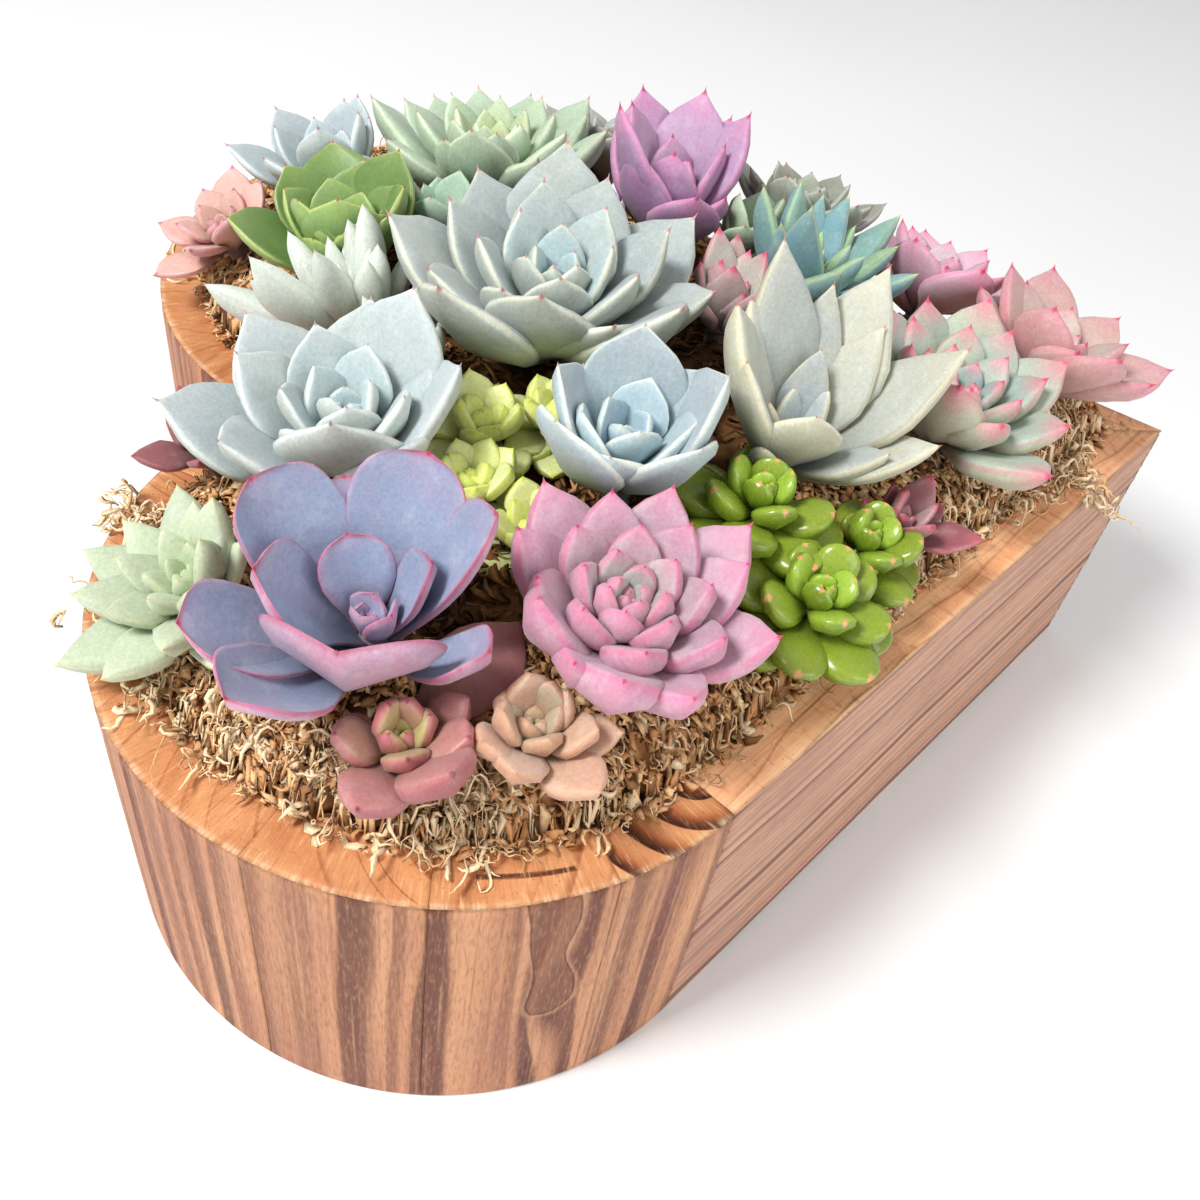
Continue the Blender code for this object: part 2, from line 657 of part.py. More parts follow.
def potting_soil(finish):
    """Soil with a pocket for each stem."""
    outline = heart_outline(WALL + JOINT_GAP)
    soil = prism("potting_soil", outline, BASE_THICKNESS + JOINT_GAP, SOIL_TOP, finish)
    return joined(soil, stem_holes(SOIL_TOP - POCKET_DEPTH, SOIL_TOP + MM, finish), "DIFFERENCE")


def ragged(index, size):
    """An uneven width along the moss's edge, as a sum of waves."""
    turn = index * MOSS_WAVE_TURN
    return size * (0.6 * math.sin(turn) + 0.4 * math.sin(2.7 * turn + 1))


def moss_loop(inset, rise, wave_in=0.0, wave_up=0.0):
    """One closed loop of the moss's surface, wavering in and out and up and down."""
    count = len(heart_outline(inset))
    outlines = [heart_outline(inset + ragged(index, wave_in)) for index in range(count)]
    return [
        (*outline[index], BOARD_HEIGHT + rise + ragged(index + 3, wave_up))
        for index, outline in enumerate(outlines)
    ]


def moss_bed(finish):
    """Moss packed on the soil, heaped towards the middle and spilling over the rim."""
    lip = WALL - MOSS_LIP
    slope = lip + MOSS_STEEP_SHARE * MOSS_SLOPE_WIDTH
    built = bmesh.new()
    loft(
        built,
        [
            moss_loop(WALL + JOINT_GAP, SOIL_TOP + JOINT_GAP - BOARD_HEIGHT),
            moss_loop(WALL + JOINT_GAP, JOINT_GAP),
            moss_loop(lip - MOSS_LIP_ROLL, JOINT_GAP, MOSS_LIP_WAVE),
            moss_loop(lip, moss_rise(lip), MOSS_LIP_WAVE, MOSS_LUMP),
            moss_loop(slope, moss_rise(slope), 0, MOSS_LUMP),
            moss_loop(lip + MOSS_SLOPE_WIDTH, MOSS_CROWN_RISE),
        ],
    )
    moss = object_of("moss_bed", built, finish)
    over = BOARD_HEIGHT + MOSS_CROWN_RISE + MM
    return joined(moss, stem_holes(SOIL_TOP - MM, over, finish), "DIFFERENCE")


def leaf_blade(plant, leaf, finish):
    """A leaf as a closed blade of few faces: keeled below, and above too where it is fat or deeply cupped."""
    shape = SHAPES[leaf["shape"]]
    stations = next(places for longest, places in BLADE_STATIONS if leaf["length"] < longest)
    crested = shape.thick > 0.1 or shape.cup > 0.3
    around = np.radians((0, 90, 180, 270) if crested else (0, 180, 270))
    rings = in_place(plant, leaf_points(leaf, np.array(stations)[:, None], around))
    tip = in_place(plant, leaf_points(leaf, 1 + shape.bristle / 2, 0.0))
    built = bmesh.new()
    loops = [[built.verts.new(point) for point in ring] for ring in rings]
    count = len(around)
    for low, high in itertools.pairwise(loops):
        for first in range(count):
            second = (first + 1) % count
            # Each side is split from an edge of the leaf to its middle, so that both faces bend alike.
            a, b = (first, second) if first in (0, count - 2) else (second, first)
            built.faces.new((low[a], low[b], high[b]))
            built.faces.new((low[a], high[b], high[a]))
    end = built.verts.new(tip)
    for first in range(count):
        built.faces.new((loops[-1][first], loops[-1][(first + 1) % count], end))
    built.faces.new(loops[0])
    return object_of("blade", built, finish)


def stem_of(plant, finish):
    """The stem, upright from its pocket in the soil to above the moss and then on up into the core."""
    radius = stem_radius(plant)
    root = root_of(plant)
    collar = BOARD_HEIGHT + moss_rise(depth_inside(*root)) + 2 * MOSS_LUMP
    rings = [hexagon((*root, SOIL_TOP - POCKET_DEPTH + JOINT_GAP), radius), hexagon((*root, collar), radius)]
    rings.append(in_place(plant, np.array(hexagon((0, 0, -STEM_TOP_SHARE * crown_drop(plant)), radius))))
    built = bmesh.new()
    loft(built, rings)
    return object_of("stem", built, finish)


def core_of(plant, leaves, finish):
    """The core that the leaves spring from, hidden under the inner ones."""
    drop = crown_drop(plant)
    wide = plant["core"] * MM + CORE_SHARE * max(leaf["length"] for leaf in leaves)
    rings = [hexagon((0, 0, down * drop + up * wide), across * wide) for down, up, across in CORE_PROFILE]
    built = bmesh.new()
    loft(built, [in_place(plant, np.array(ring)) for ring in rings])
    return object_of(plant["name"], built, finish)


def plant_nodes():
    """Each rosette or head as one body: its core and leaves joined and lightened, then its stem."""
    for plant, leaves in zip(PLANTS, planted(PLANTS).values()):
        finish = material(plant["name"] + "_leaves", plant["colour"], 0.6)
        body = core_of(plant, leaves, finish)
        lightened(joined(body, [leaf_blade(plant, leaf, finish) for leaf in leaves], "UNION"))
        joined(body, [stem_of(plant, finish)], "UNION")


def main():
    for old in list(bpy.data.objects):
        bpy.data.objects.remove(old)
    planter(material("cedar", (196, 142, 100), 0.6), material("plywood", (186, 150, 112), 0.7))
    potting_soil(material("soil", (52, 38, 28), 0.95))
    moss_bed(material("dried_moss", (196, 166, 110), 0.9))
    plant_nodes()


main()
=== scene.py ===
"""Looks of a heart-shaped wooden planter filled with succulent rosettes bedded in dried moss.

The dimensions, the plants and the rules that place their leaves are the ones that the part is built from.
"""

import collections
import itertools
import math

import bpy
import numpy as np
from mathutils import Matrix, Vector


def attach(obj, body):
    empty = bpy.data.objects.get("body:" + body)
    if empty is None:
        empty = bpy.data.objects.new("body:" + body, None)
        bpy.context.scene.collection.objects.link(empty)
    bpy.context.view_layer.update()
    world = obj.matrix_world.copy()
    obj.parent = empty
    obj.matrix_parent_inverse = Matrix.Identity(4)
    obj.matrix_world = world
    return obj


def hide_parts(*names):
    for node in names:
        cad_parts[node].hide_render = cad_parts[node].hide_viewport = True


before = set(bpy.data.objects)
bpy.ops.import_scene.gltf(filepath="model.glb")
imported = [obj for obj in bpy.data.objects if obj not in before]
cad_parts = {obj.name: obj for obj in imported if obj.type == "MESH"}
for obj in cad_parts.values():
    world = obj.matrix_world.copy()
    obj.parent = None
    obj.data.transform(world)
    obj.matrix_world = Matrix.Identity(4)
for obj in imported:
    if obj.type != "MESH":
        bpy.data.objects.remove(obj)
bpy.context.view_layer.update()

# The planter: boards bent into a heart from two straight sides and two round lobes
MM = 0.001
BOARD_HEIGHT = 0.089
WALL = 0.019
LOBE_RADIUS = 0.0836
HALF_ANGLE = math.radians(39.3)
SIDE_LENGTH = 0.2073
TIP_Y = -0.1485
LOBE_X = SIDE_LENGTH * math.sin(HALF_ANGLE) - LOBE_RADIUS * math.cos(HALF_ANGLE)
LOBE_Y = TIP_Y + SIDE_LENGTH * math.cos(HALF_ANGLE) + LOBE_RADIUS * math.sin(HALF_ANGLE)
NOTCH_ANGLE = math.acos(-LOBE_X / LOBE_RADIUS)
NOTCH_Y = LOBE_Y + LOBE_RADIUS * math.sin(NOTCH_ANGLE)
NOTCH_SLOPE = 0.6

# The moss, as it rises from its lip on the rim to its crown in the middle
MOSS_EDGE_RISE = 0.0045
MOSS_CROWN_RISE = 0.019
MOSS_SLOPE_WIDTH = 0.034
MOSS_LIP = 0.005

# How the plants stand in the moss and beside each other
GOLDEN_ANGLE = 137.508
STEM_MARGIN = 0.0055
CROWN_CLEARANCE = 0.0045
CROWN_DROP_SHARE = 0.22
NEIGHBOUR_REACH = 1.6
NEIGHBOUR_CLEARANCE = 0.0004
NEIGHBOUR_SLOPE = 0.016
MOST_OVERHANG = 0.9

# How a leaf gives way to its neighbours and the moss: it is raised in steps of some degrees, then shortened
LEAF_CLEARANCE = 0.0018
RAISE_STEP = 4
MOST_RAISED = 36
STEEPEST_RISE = 84
SHORTER_SHARE = 0.93
MOST_SHORTENINGS = 12
TESTED_ALONG = (0.3, 0.5, 0.7, 0.85, 1.0)

# The camera, solved from the photo's outline of the planter
LENS = 36.177
CAMERA_PLACE = (-0.2640684, 0.0821099, 0.2939708)
CAMERA_AXES = (
    (-0.1196772, -0.9850647, 0.1237936),
    (0.7261518, -0.0018189, 0.6875321),
    (-0.6770384, 0.1721748, 0.7155242),
)

# Light: how bright the white surroundings are, and each lamp's name, place, power and size
SKY = 0.46
LAMPS = (
    ("key", (-0.3, 0.75, 1.1), 16, 0.35),
    ("fill", (-0.9, -0.7, 0.7), 6, 0.9),
)

# How the wood is cut and brushed
INNER_ARC_END = math.radians(135)
JOINT_GAP = 0.00008
EASED_EDGE = 0.001
RIM_ROUND = 0.0006
GRAIN_STEP = 0.0009
UPRIGHT_STEP = 0.0027
RELIEF = 0.0004
BLOCK_JOINTS = (-39.3, -19, 7, 33, 55, 77, 99, 121, math.degrees(NOTCH_ANGLE))
KNOT_BLOCK = 2
KNOT_ANGLE = math.radians(-11.6)
KNOT_HEIGHT = 0.046
SCAR_ARC = LOBE_RADIUS * math.radians(-6.8)
SCAR_INSET = 0.0064
SCAR_REACH = 0.011
BURNT_BLOCKS = {1: 1.0}
BURNT_PITH = (0.1198, 0.0195)
BURNT_SPACING = 7.45

# Soil, stems and moss
SOIL_TOP = 0.074
STEM_FOOT = 0.0625
THIN_STEM = 0.0024
THICK_STEM = 0.0035
MAT_STEP = 0.0022
# Tufts of pale frizz: place, spread in mm and number of curls
TUFTS = (
    ((-131, 78), 3, 34), ((-134, 70), 3, 40), ((-132, 64), 3, 34), ((-126, 92), 3, 26), ((-123, 100), 3, 26),
    ((-115, 112), 3, 30), ((-106, 121), 4, 30), ((-94, 131), 3, 30), ((-76, 139), 4, 34), ((-48, 138), 4, 44),
    ((-40, 142), 3, 20), ((-34, -82), 4, 44), ((-5, -102), 4, 44), ((-20, -106), 5, 70), ((-12, -112), 4, 50),
    ((-33, -112), 3, 20), ((-44, -70), 4, 30), ((-54, -56), 4, 24), ((66, 136), 4, 26), ((-130, 42), 3, 16),
)

# How finely a leaf is made: shares of its length and degrees round its edge, then how it strays from its plan
LEAF_ALONG = (
    np.array([0, 0.1, 0.24, 0.4, 0.56, 0.7, 0.81, 0.89, 0.95, 0.985]),
    np.array([0, 0.07, 0.16, 0.27, 0.38, 0.49, 0.6, 0.7, 0.78, 0.85, 0.91, 0.95, 0.98, 0.995]),
)
LEAF_AROUND = (
    (0, 16, 50, 90, 130, 164, 180, 206, 270, 334),
    (0, 8, 24, 54, 90, 126, 156, 172, 180, 192, 216, 270, 324, 348),
)
FINE_LEAF = 0.022
EDGE_WIDTH = 0.0009
BRISTLE_SHARE = 0.6
BRISTLE_WIDTH = 0.0012
POINT_SHARE = 0.09
POINTED = 0.5
MARGIN_ROUND = 0.6
LEAF_TWIST = 5
LEAF_SWAY = 0.018
BUD_LEAVES = 6
MORE_LEAVES = 1.33
SKIRTS = {"sedum": 9, "bead": 6}
REACHING = {"rose": (-42, 34, 2, 12, 0.85)}
VARIED = {"lavender": 0.0, "teal": 0.9, "ruby_tip": 0.5, "mauve": 0.5, "sedum": 0.4, "spire": 0.5}
FLUSHED = {"ruby_tip": 0.85, "peach": 0.5, "pink": 0.4, "mauve": 0.55, "violet": 0.45, "blush": 0.5, "garnet": 0.5}

# Each kind of plant: colours of its young leaves, of a leaf's body, foot, underside, edge and tip, then how far
# the edge colour reaches in, how strong it is, where the tip colour starts, how much the underside's colour
# blends in, how spotted, rough, glossy and powdery the skin is.
Look = collections.namedtuple(
    "Look", "young body foot under edge tip narrow edged tipped blend spots rough gloss bloom",
    defaults=(0.35, 0.7, 0.9, 0.2, 0.2, 0.55, 0.35, 0.15),
)
LOOKS = {
    # The lavender's dark blue foot colour is partly the leaf's own tone and partly painted shade at the leaves'
    # feet.
    "lavender": Look((164, 178, 208), (143, 155, 182), (98, 108, 144), (196, 150, 172), (186, 98, 128),
                     (176, 54, 90), 0.24, 0.9, 0.025, 0.15, 0.05),
    "pink": Look((180, 190, 178), (188, 158, 172), (198, 184, 184), (202, 152, 172), (224, 122, 160),
                 (208, 66, 112), 0.2, 0.6, 0.02, 0.35, 0.25),
    "blue_crown": Look((178, 202, 206), (170, 180, 180), (160, 180, 178), (168, 174, 162), (226, 226, 206),
                       (204, 140, 150), 0.3, 0.85, 0.025, 0.25),
    "blue_left": Look((186, 204, 208), (180, 191, 194), (158, 180, 186), (190, 198, 188), (228, 232, 226),
                      (188, 150, 164), 0.3, 0.85, 0.015, 0.3),
    "blue_bud": Look((162, 190, 204), (172, 184, 190), (150, 182, 192), (184, 204, 206), (228, 232, 218),
                     (206, 190, 180), 0.3, 0.85, 0.015, 0.25),
    "spire": Look((172, 186, 194), (176, 182, 180), (166, 182, 180), (192, 190, 164), (228, 220, 190),
                  (204, 126, 116), 0.3, 0.85, 0.02, 0.32),
    "fern_green": Look((164, 194, 118), (100, 130, 68), (120, 154, 94), (138, 168, 98), (194, 204, 122),
                       (166, 92, 80), 0.4, 0.7, 0.02, 0.2, 0.05, 0.38, 0.5, 0.02),
    "silver": Look((216, 222, 212), (222, 228, 218), (204, 212, 204), (200, 208, 196), (230, 234, 224),
                   (218, 216, 198), 0.45, 0.5, 0.02),
    "silver_sprig": Look((216, 222, 212), (222, 228, 218), (204, 212, 204), (200, 208, 196), (230, 234, 224),
                         (218, 216, 198), 0.45, 0.5, 0.02),
    "dusk": Look((190, 206, 208), (172, 184, 188), (166, 184, 188), (190, 202, 200), (220, 226, 226),
                 (192, 132, 154), 0.4, 0.75, 0.03),
    "mint": Look((196, 210, 152), (176, 196, 170), (170, 200, 168), (170, 190, 162), (222, 232, 200),
                 (204, 150, 140), 0.38, 0.8, 0.02, 0.3),
    "violet": Look((196, 168, 192), (188, 152, 186), (150, 126, 160), (170, 126, 166), (222, 140, 180),
                   (186, 62, 114), 0.3, 0.6, 0.04, 0.3, 0.2),
    "sage": Look((156, 166, 150), (140, 140, 126), (158, 174, 162), (146, 154, 138), (192, 194, 180),
                 (168, 96, 104), 0.4, 0.75, 0.03, 0.3),
    "teal": Look((176, 206, 150), (148, 178, 138), (132, 172, 164), (110, 152, 166), (192, 214, 164),
                 (196, 206, 132), 0.4, 0.6, 0.03),
    "mauve": Look((190, 186, 188), (222, 184, 202), (184, 162, 172), (216, 172, 190), (226, 134, 166),
                  (212, 66, 102), 0.4, 0.6, 0.05, 0.3, 0.25),
    "peach": Look((196, 202, 182), (206, 166, 160), (194, 186, 168), (210, 160, 158), (214, 134, 156),
                  (212, 76, 112), 0.4, 0.6, 0.05, 0.3, 0.5),
    "ruby_tip": Look((148, 182, 188), (170, 186, 174), (154, 178, 166), (190, 190, 162), (220, 140, 152),
                     (222, 80, 120), 0.4, 0.45, 0.05, 0.3, 0.25),
    "sedum": Look((230, 234, 136), (230, 234, 168), (232, 234, 198), (220, 226, 140), (206, 218, 84),
                  (202, 212, 82), 0.34, 0.7, 0.05, 0.3, 0.05, 0.42, 0.45, 0.02),
    "bead": Look((164, 198, 70), (138, 156, 50), (132, 154, 52), (112, 136, 34), (152, 182, 62),
                 (220, 160, 108), 0.6, 0.3, 0.07, 0.3, 0.02, 0.24, 0.6, 0.0),
    "rose": Look((182, 188, 112), (190, 132, 128), (166, 140, 100), (168, 94, 100), (200, 118, 124),
                 (150, 72, 82), 0.4, 0.5, 0.04, 0.3, 0.1, 0.4, 0.45, 0.1),
    "apricot": Look((164, 170, 142), (208, 176, 154), (192, 182, 158), (196, 148, 118), (222, 172, 138),
                    (206, 158, 128), 0.45, 0.5, 0.03, 0.35, 0.05),
    "celadon": Look((186, 202, 166), (188, 200, 172), (190, 206, 178), (192, 204, 172), (224, 228, 188),
                    (214, 206, 142), 0.45, 0.5, 0.04),
    "garnet": Look((178, 162, 160), (142, 76, 82), (140, 104, 104), (158, 92, 102), (202, 108, 122),
                   (186, 70, 92), 0.4, 0.6, 0.09, 0.3, 0.1, 0.42),
    "wine": Look((160, 106, 102), (150, 92, 96), (140, 98, 96), (146, 84, 90), (166, 88, 98),
                 (154, 62, 76), 0.4, 0.5, 0.08, 0.3, 0.1, 0.42),
    "mocha": Look((200, 168, 148), (228, 180, 166), (200, 164, 144), (212, 156, 154), (206, 142, 162),
                  (190, 104, 130), 0.45, 0.6, 0.07),
    "blush": Look((194, 204, 188), (184, 190, 172), (182, 194, 174), (204, 178, 178), (222, 126, 150),
                  (212, 86, 122), 0.35, 0.7, 0.1, 0.35, 0.4),
    "ash": Look((178, 188, 180), (164, 160, 152), (168, 184, 180), (162, 162, 152), (212, 216, 208),
                (184, 132, 140), 0.5, 0.5, 0.03),
    "jade_sprig": Look((184, 208, 182), (166, 196, 176), (156, 184, 166), (166, 192, 172), (200, 218, 194),
                       (186, 134, 130), 0.5, 0.5, 0.03),
    "slate_sprig": Look((180, 200, 202), (174, 192, 198), (156, 176, 182), (172, 188, 190), (208, 218, 220),
                        (178, 132, 148), 0.5, 0.5, 0.03),
    "lime_sprig": Look((180, 202, 168), (168, 190, 164), (166, 192, 138), (168, 188, 156), (208, 218, 186),
                       (194, 134, 106), 0.5, 0.5, 0.03),
    "coral_sprig": Look((200, 194, 170), (216, 172, 162), (196, 172, 154), (214, 168, 158), (222, 136, 142),
                        (204, 88, 108), 0.4, 0.6, 0.08, 0.3, 0.3),
}

# Each kind of leaf, with its half width and half thickness as shares of its length: how far along it
# is widest, how narrow its foot is, how blunt its end, how deep its cup and how long its bristle.
Shape = collections.namedtuple("Shape", "wide thick widest foot blunt cup bristle")
SHAPES = {
    "scoop": Shape(0.36, 0.045, 0.66, 0.26, 3.4, 0.30, 0.04),
    "spoon": Shape(0.38, 0.050, 0.60, 0.24, 1.8, 0.24, 0.05),
    "petal": Shape(0.32, 0.050, 0.60, 0.28, 1.5, 0.14, 0.06),
    "lance": Shape(0.22, 0.060, 0.55, 0.36, 1.25, 0.18, 0.03),
    "dart": Shape(0.17, 0.090, 0.45, 0.55, 1.15, 0.10, 0.03),
    "finger": Shape(0.15, 0.115, 0.50, 0.45, 1.35, 0.00, 0.03),
    "plump": Shape(0.31, 0.110, 0.56, 0.36, 1.5, 0.08, 0.04),
    "bean": Shape(0.29, 0.190, 0.60, 0.34, 2.4, 0.00, 0.00),
}


def plant(name, at, shape, spread, lean=(5, 180), turn=0, core=3, broad=1.0, fat=1.0, cupped=1.0, **more):
    """A plant: crown at (x, y, height above the rim) in mm, lean (degrees, towards), leaf sizes in mm."""
    return dict(
        name=name, at=at, shape=shape, spread=spread, lean=lean, turn=turn, core=core,
        broad=broad, fat=fat, cupped=cupped, **more,
    )


# Rows of leaves listed one by one hold azimuth, length, rise, curl and, where it isn't 1, how broad the leaf is,
# from the innermost leaf out.
LAVENDER_LEAVES = (
    (150, 9, 76, 24), (-35, 11, 78, 20), (-130, 13, 66, 30, 0.9), (12, 22, 62, 24, 0.9),
    (92, 31, 54, 50, 0.85), (-78, 25, 62, 30, 0.6), (45, 38, 46, 28, 0.85), (-28, 38, 46, 26, 0.85),
    (168, 32, 58, 74, 1.45), (-78, 41, 28, 24, 0.45), (102, 37, 32, 44, 0.75), (8, 32, 36, 14, 0.55),
    (-124, 33, 34, 56, 0.52), (134, 38, 14, 50, 0.75),
)
VIOLET_LEAVES = (
    (100, 18, 84, 14), (-60, 20, 82, 14), (20, 26, 78, 16), (150, 28, 70, 20), (-110, 30, 70, 18),
    (62, 37, 64, 12), (-24, 40, 66, 12), (100, 42, 58, 12), (-78, 40, 54, 12), (20, 41, 58, 12),
    (-50, 37, 46, 12), (176, 35, 26, 24), (-140, 34, 22, 24), (130, 34, 34, 22), (60, 34, 30, 14),
)
SPIRE_LEAVES = (
    (60, 10, 84, 12), (-110, 12, 82, 12), (160, 14, 78, 14), (20, 18, 78, 14), (-70, 20, 72, 14),
    (110, 22, 66, 14), (-25, 28, 74, 12), (172, 28, 62, 20, 1.7), (42, 40, 62, 12), (-58, 38, 58, 12),
    (98, 36, 48, 16), (-130, 28, 40, 24), (-14, 42, 61, 10, 0.9), (14, 52, 66, 10, 0.85),
    (-42, 50, 56, 12, 1.15), (70, 45, 46, 12), (-86, 49, 24, 14), (-116, 37, 13, 18), (135, 36, 22, 20),
)

PLANTS = (
    plant(
        "lavender_rosette", (-106, 86, 29), "scoop", 46, (10, 165),
        broad=1.0, cupped=1.6, leaves=LAVENDER_LEAVES,
    ),
    plant(
        "pink_rosette", (-104, 36, 31), "petal", 34, (10, 190),
        broad=0.82, fat=2.4, cupped=1.5, count=24, length=(8, 35), rise=(84, 26), curl=56,
    ),
    plant(
        "blue_crown_rosette", (-1, 41, 34), "petal", 50, (4, 180),
        broad=0.9, fat=1.5, turn=20, count=21, length=(13, 54), rise=(82, 20), curl=32,
    ),
    plant(
        "blue_left_rosette", (-48, 91, 29), "petal", 38, (6, 150),
        broad=1.06, fat=1.5, count=15, length=(14, 41), rise=(80, 24), curl=34,
    ),
    plant(
        "blue_bud_rosette", (-56, 30, 31), "spoon", 27, (4, 180),
        broad=0.9, fat=1.3, count=13, length=(10, 40), rise=(84, 30), curl=28,
    ),
    plant(
        "spire_rosette", (-48, -11, 28), "lance", 48, (6, 190),
        broad=0.98, fat=1.3, leaves=SPIRE_LEAVES,
    ),
    plant(
        "fern_green_rosette", (31, 92, 28), "spoon", 30, (5, 130),
        broad=0.9, fat=1.2, count=17, length=(10, 36), rise=(82, 26), curl=26,
    ),
    plant(
        "silver_rosette", (8, 91, 25), "finger", 29, (18, 55),
        broad=0.95, count=18, length=(10, 42), rise=(86, 24), curl=10,
    ),
    plant(
        "silver_sprig_rosette", (-14, 76, 25), "finger", 21, (10, 120),
        broad=1.0, turn=40, count=12, length=(8, 30), rise=(86, 26), curl=10,
    ),
    plant(
        "dusk_rosette", (77, 97, 23), "petal", 27, (8, 100),
        broad=0.9, fat=1.2, count=15, length=(9, 31), rise=(86, 30), curl=24,
    ),
    plant(
        "mint_rosette", (77, 51, 31), "petal", 42, (8, 10),
        broad=0.76, fat=1.9, count=25, length=(8, 42), rise=(86, 22), curl=30,
    ),
    plant(
        "violet_rosette", (54, 1, 29), "petal", 34, (5, -30),
        broad=0.92, fat=1.3, cupped=0.7, leaves=VIOLET_LEAVES,
    ),
    plant(
        "sage_rosette", (61, -41, 29), "petal", 25, (14, -30),
        broad=0.9, fat=1.2, turn=14, count=15, length=(8, 33), rise=(84, 18), curl=16,
    ),
    plant(
        "teal_rosette", (24, -31, 25), "dart", 32, (10, -50),
        broad=1.2, fat=1.0, count=19, length=(12, 40), rise=(86, 26), curl=10,
    ),
    plant(
        "mauve_rosette", (36, -77, 22), "petal", 25, (12, -40),
        fat=1.3, count=15, length=(8, 35), rise=(84, 10), curl=20,
    ),
    plant(
        "peach_rosette", (-2, -98, 20), "petal", 31, (12, -70),
        broad=0.95, fat=1.6, count=15, length=(10, 42), rise=(80, 8), curl=20,
    ),
    plant(
        "ruby_tip_rosette", (-29, -60, 26), "petal", 32, (8, -120),
        broad=0.88, fat=2.0, count=21, length=(8, 38), rise=(86, 24), curl=30,
    ),
    plant(
        "sedum_head_a", (-41, 60, 28), "petal", 15, (5, 180),
        broad=1.12, fat=2.4, count=8, length=(5, 17), rise=(80, 16), curl=26, core=2,
    ),
    plant(
        "sedum_head_b", (-38, 43, 29), "petal", 15, (5, 200),
        broad=1.12, fat=2.4, turn=15, count=8, length=(5, 17), rise=(80, 16), curl=26, core=2,
    ),
    plant(
        "sedum_head_c", (-59, 64, 25), "petal", 15, (8, 150),
        broad=1.12, fat=2.4, count=8, length=(5, 17), rise=(80, 16), curl=26, core=2,
    ),
    plant(
        "sedum_head_d", (-71, 51, 22), "petal", 15, (8, 180),
        broad=1.12, fat=2.4, count=8, length=(5, 17), rise=(80, 16), curl=26, core=2,
    ),
    plant(
        "bead_head_a", (-68, 0, 29), "bean", 19, (5, 200),
        broad=1.2, count=9, length=(9, 21), rise=(80, 0), curl=18, core=2,
    ),
    plant(
        "bead_head_b", (-90, -10, 20), "bean", 19, (14, 210),
        broad=1.2, count=9, length=(9, 21), rise=(80, 0), curl=18, core=2,
    ),
    plant(
        "bead_head_c", (-71, -27, 19), "bean", 16, (10, 220),
        broad=1.2, count=8, length=(8, 19), rise=(80, 0), curl=18, core=2,
    ),
    plant(
        "rose_rosette", (-124, 80, 17), "petal", 23, (10, 180),
        broad=0.98, fat=2.6, cupped=0.8, count=10, length=(8, 25), rise=(78, 22), curl=30,
    ),
    plant(
        "apricot_rosette", (-123, 55, 18), "petal", 19, (10, 190),
        broad=0.95, fat=2.3, cupped=1.2, count=12, length=(8, 24), rise=(78, 24), curl=30,
    ),
    plant(
        "celadon_rosette", (-86, 121, 19), "lance", 23, (18, 115),
        broad=1.15, fat=2.0, cupped=0.5, count=21, length=(7, 28), rise=(86, 6), curl=14,
    ),
    plant(
        "garnet_rosette", (-62, -39, 16), "lance", 15, (12, -140),
        broad=1.25, count=9, length=(8, 24), rise=(76, 8), curl=16,
    ),
    plant(
        "wine_rosette", (-38, 123, 17), "lance", 11, (20, 120),
        broad=1.4, count=7, length=(7, 18), rise=(76, 16), curl=14,
    ),
    plant(
        "mocha_rosette", (55, 127, 18), "petal", 19, (18, 100),
        broad=1.05, count=11, length=(7, 21), rise=(76, 10), curl=18,
    ),
    plant(
        "blush_rosette", (13, -8, 24), "lance", 24, (5, 200),
        broad=1.1, count=11, length=(9, 34), rise=(84, 24), curl=12,
    ),
    plant(
        "ash_rosette", (107, 12, 23), "petal", 27, (16, -10),
        count=15, length=(8, 34), rise=(82, 6), curl=16,
    ),
    plant(
        "jade_sprig_rosette", (46, 66, 26), "petal", 23, (5, 0),
        broad=1.1, count=9, length=(8, 30), rise=(80, 20), curl=18,
    ),
    plant(
        "slate_sprig_rosette", (44, 25, 27), "petal", 22, (5, 0),
        broad=1.1, count=9, length=(8, 30), rise=(80, 20), curl=18,
    ),
    plant(
        "lime_sprig_rosette", (47, -21, 26), "petal", 24, (5, 0),
        broad=1.1, count=10, length=(8, 28), rise=(80, 20), curl=18,
    ),
    plant(
        "coral_sprig_rosette", (114, 48, 18), "petal", 20, (12, 0),
        fat=1.2, count=9, length=(8, 25), rise=(78, 6), curl=18,
    ),
)


def depth_inside(x, y):
    """How far a point lies inside the heart's outer outline, negative outside it."""
    x = abs(x)
    side = x * -math.cos(HALF_ANGLE) + (y - TIP_Y) * math.sin(HALF_ANGLE)
    lobe = LOBE_RADIUS - math.hypot(x - LOBE_X, y - LOBE_Y)
    foot = x * math.sin(HALF_ANGLE) + (y - TIP_Y) * math.cos(HALF_ANGLE)
    if foot < SIDE_LENGTH and y < LOBE_Y:
        return max(side, lobe)
    notch = NOTCH_Y - y + NOTCH_SLOPE * x
    return max(lobe, notch) if x < LOBE_X / 2 else lobe


def moss_rise(depth):
    """Height of the moss above the rim at a depth inside the outline."""
    share = min(max((depth - WALL + MOSS_LIP) / MOSS_SLOPE_WIDTH, 0.0), 1.0)
    return MOSS_EDGE_RISE + (MOSS_CROWN_RISE - MOSS_EDGE_RISE) * math.sin(share * math.pi / 2)


def half_width(shape, along):
    """Half width of a leaf as a share of its widest, from its foot to its end."""
    growth = np.sin(np.clip(along / shape.widest, 0, 1) * math.pi / 2) ** 1.8
    end = np.clip((along - shape.widest) / (1 - shape.widest), 0, 1)
    taper = (1 - end**shape.blunt) ** (1 / max(1.0, shape.blunt * 0.85))
    return np.where(along < shape.widest, shape.foot + (1 - shape.foot) * growth, taper)


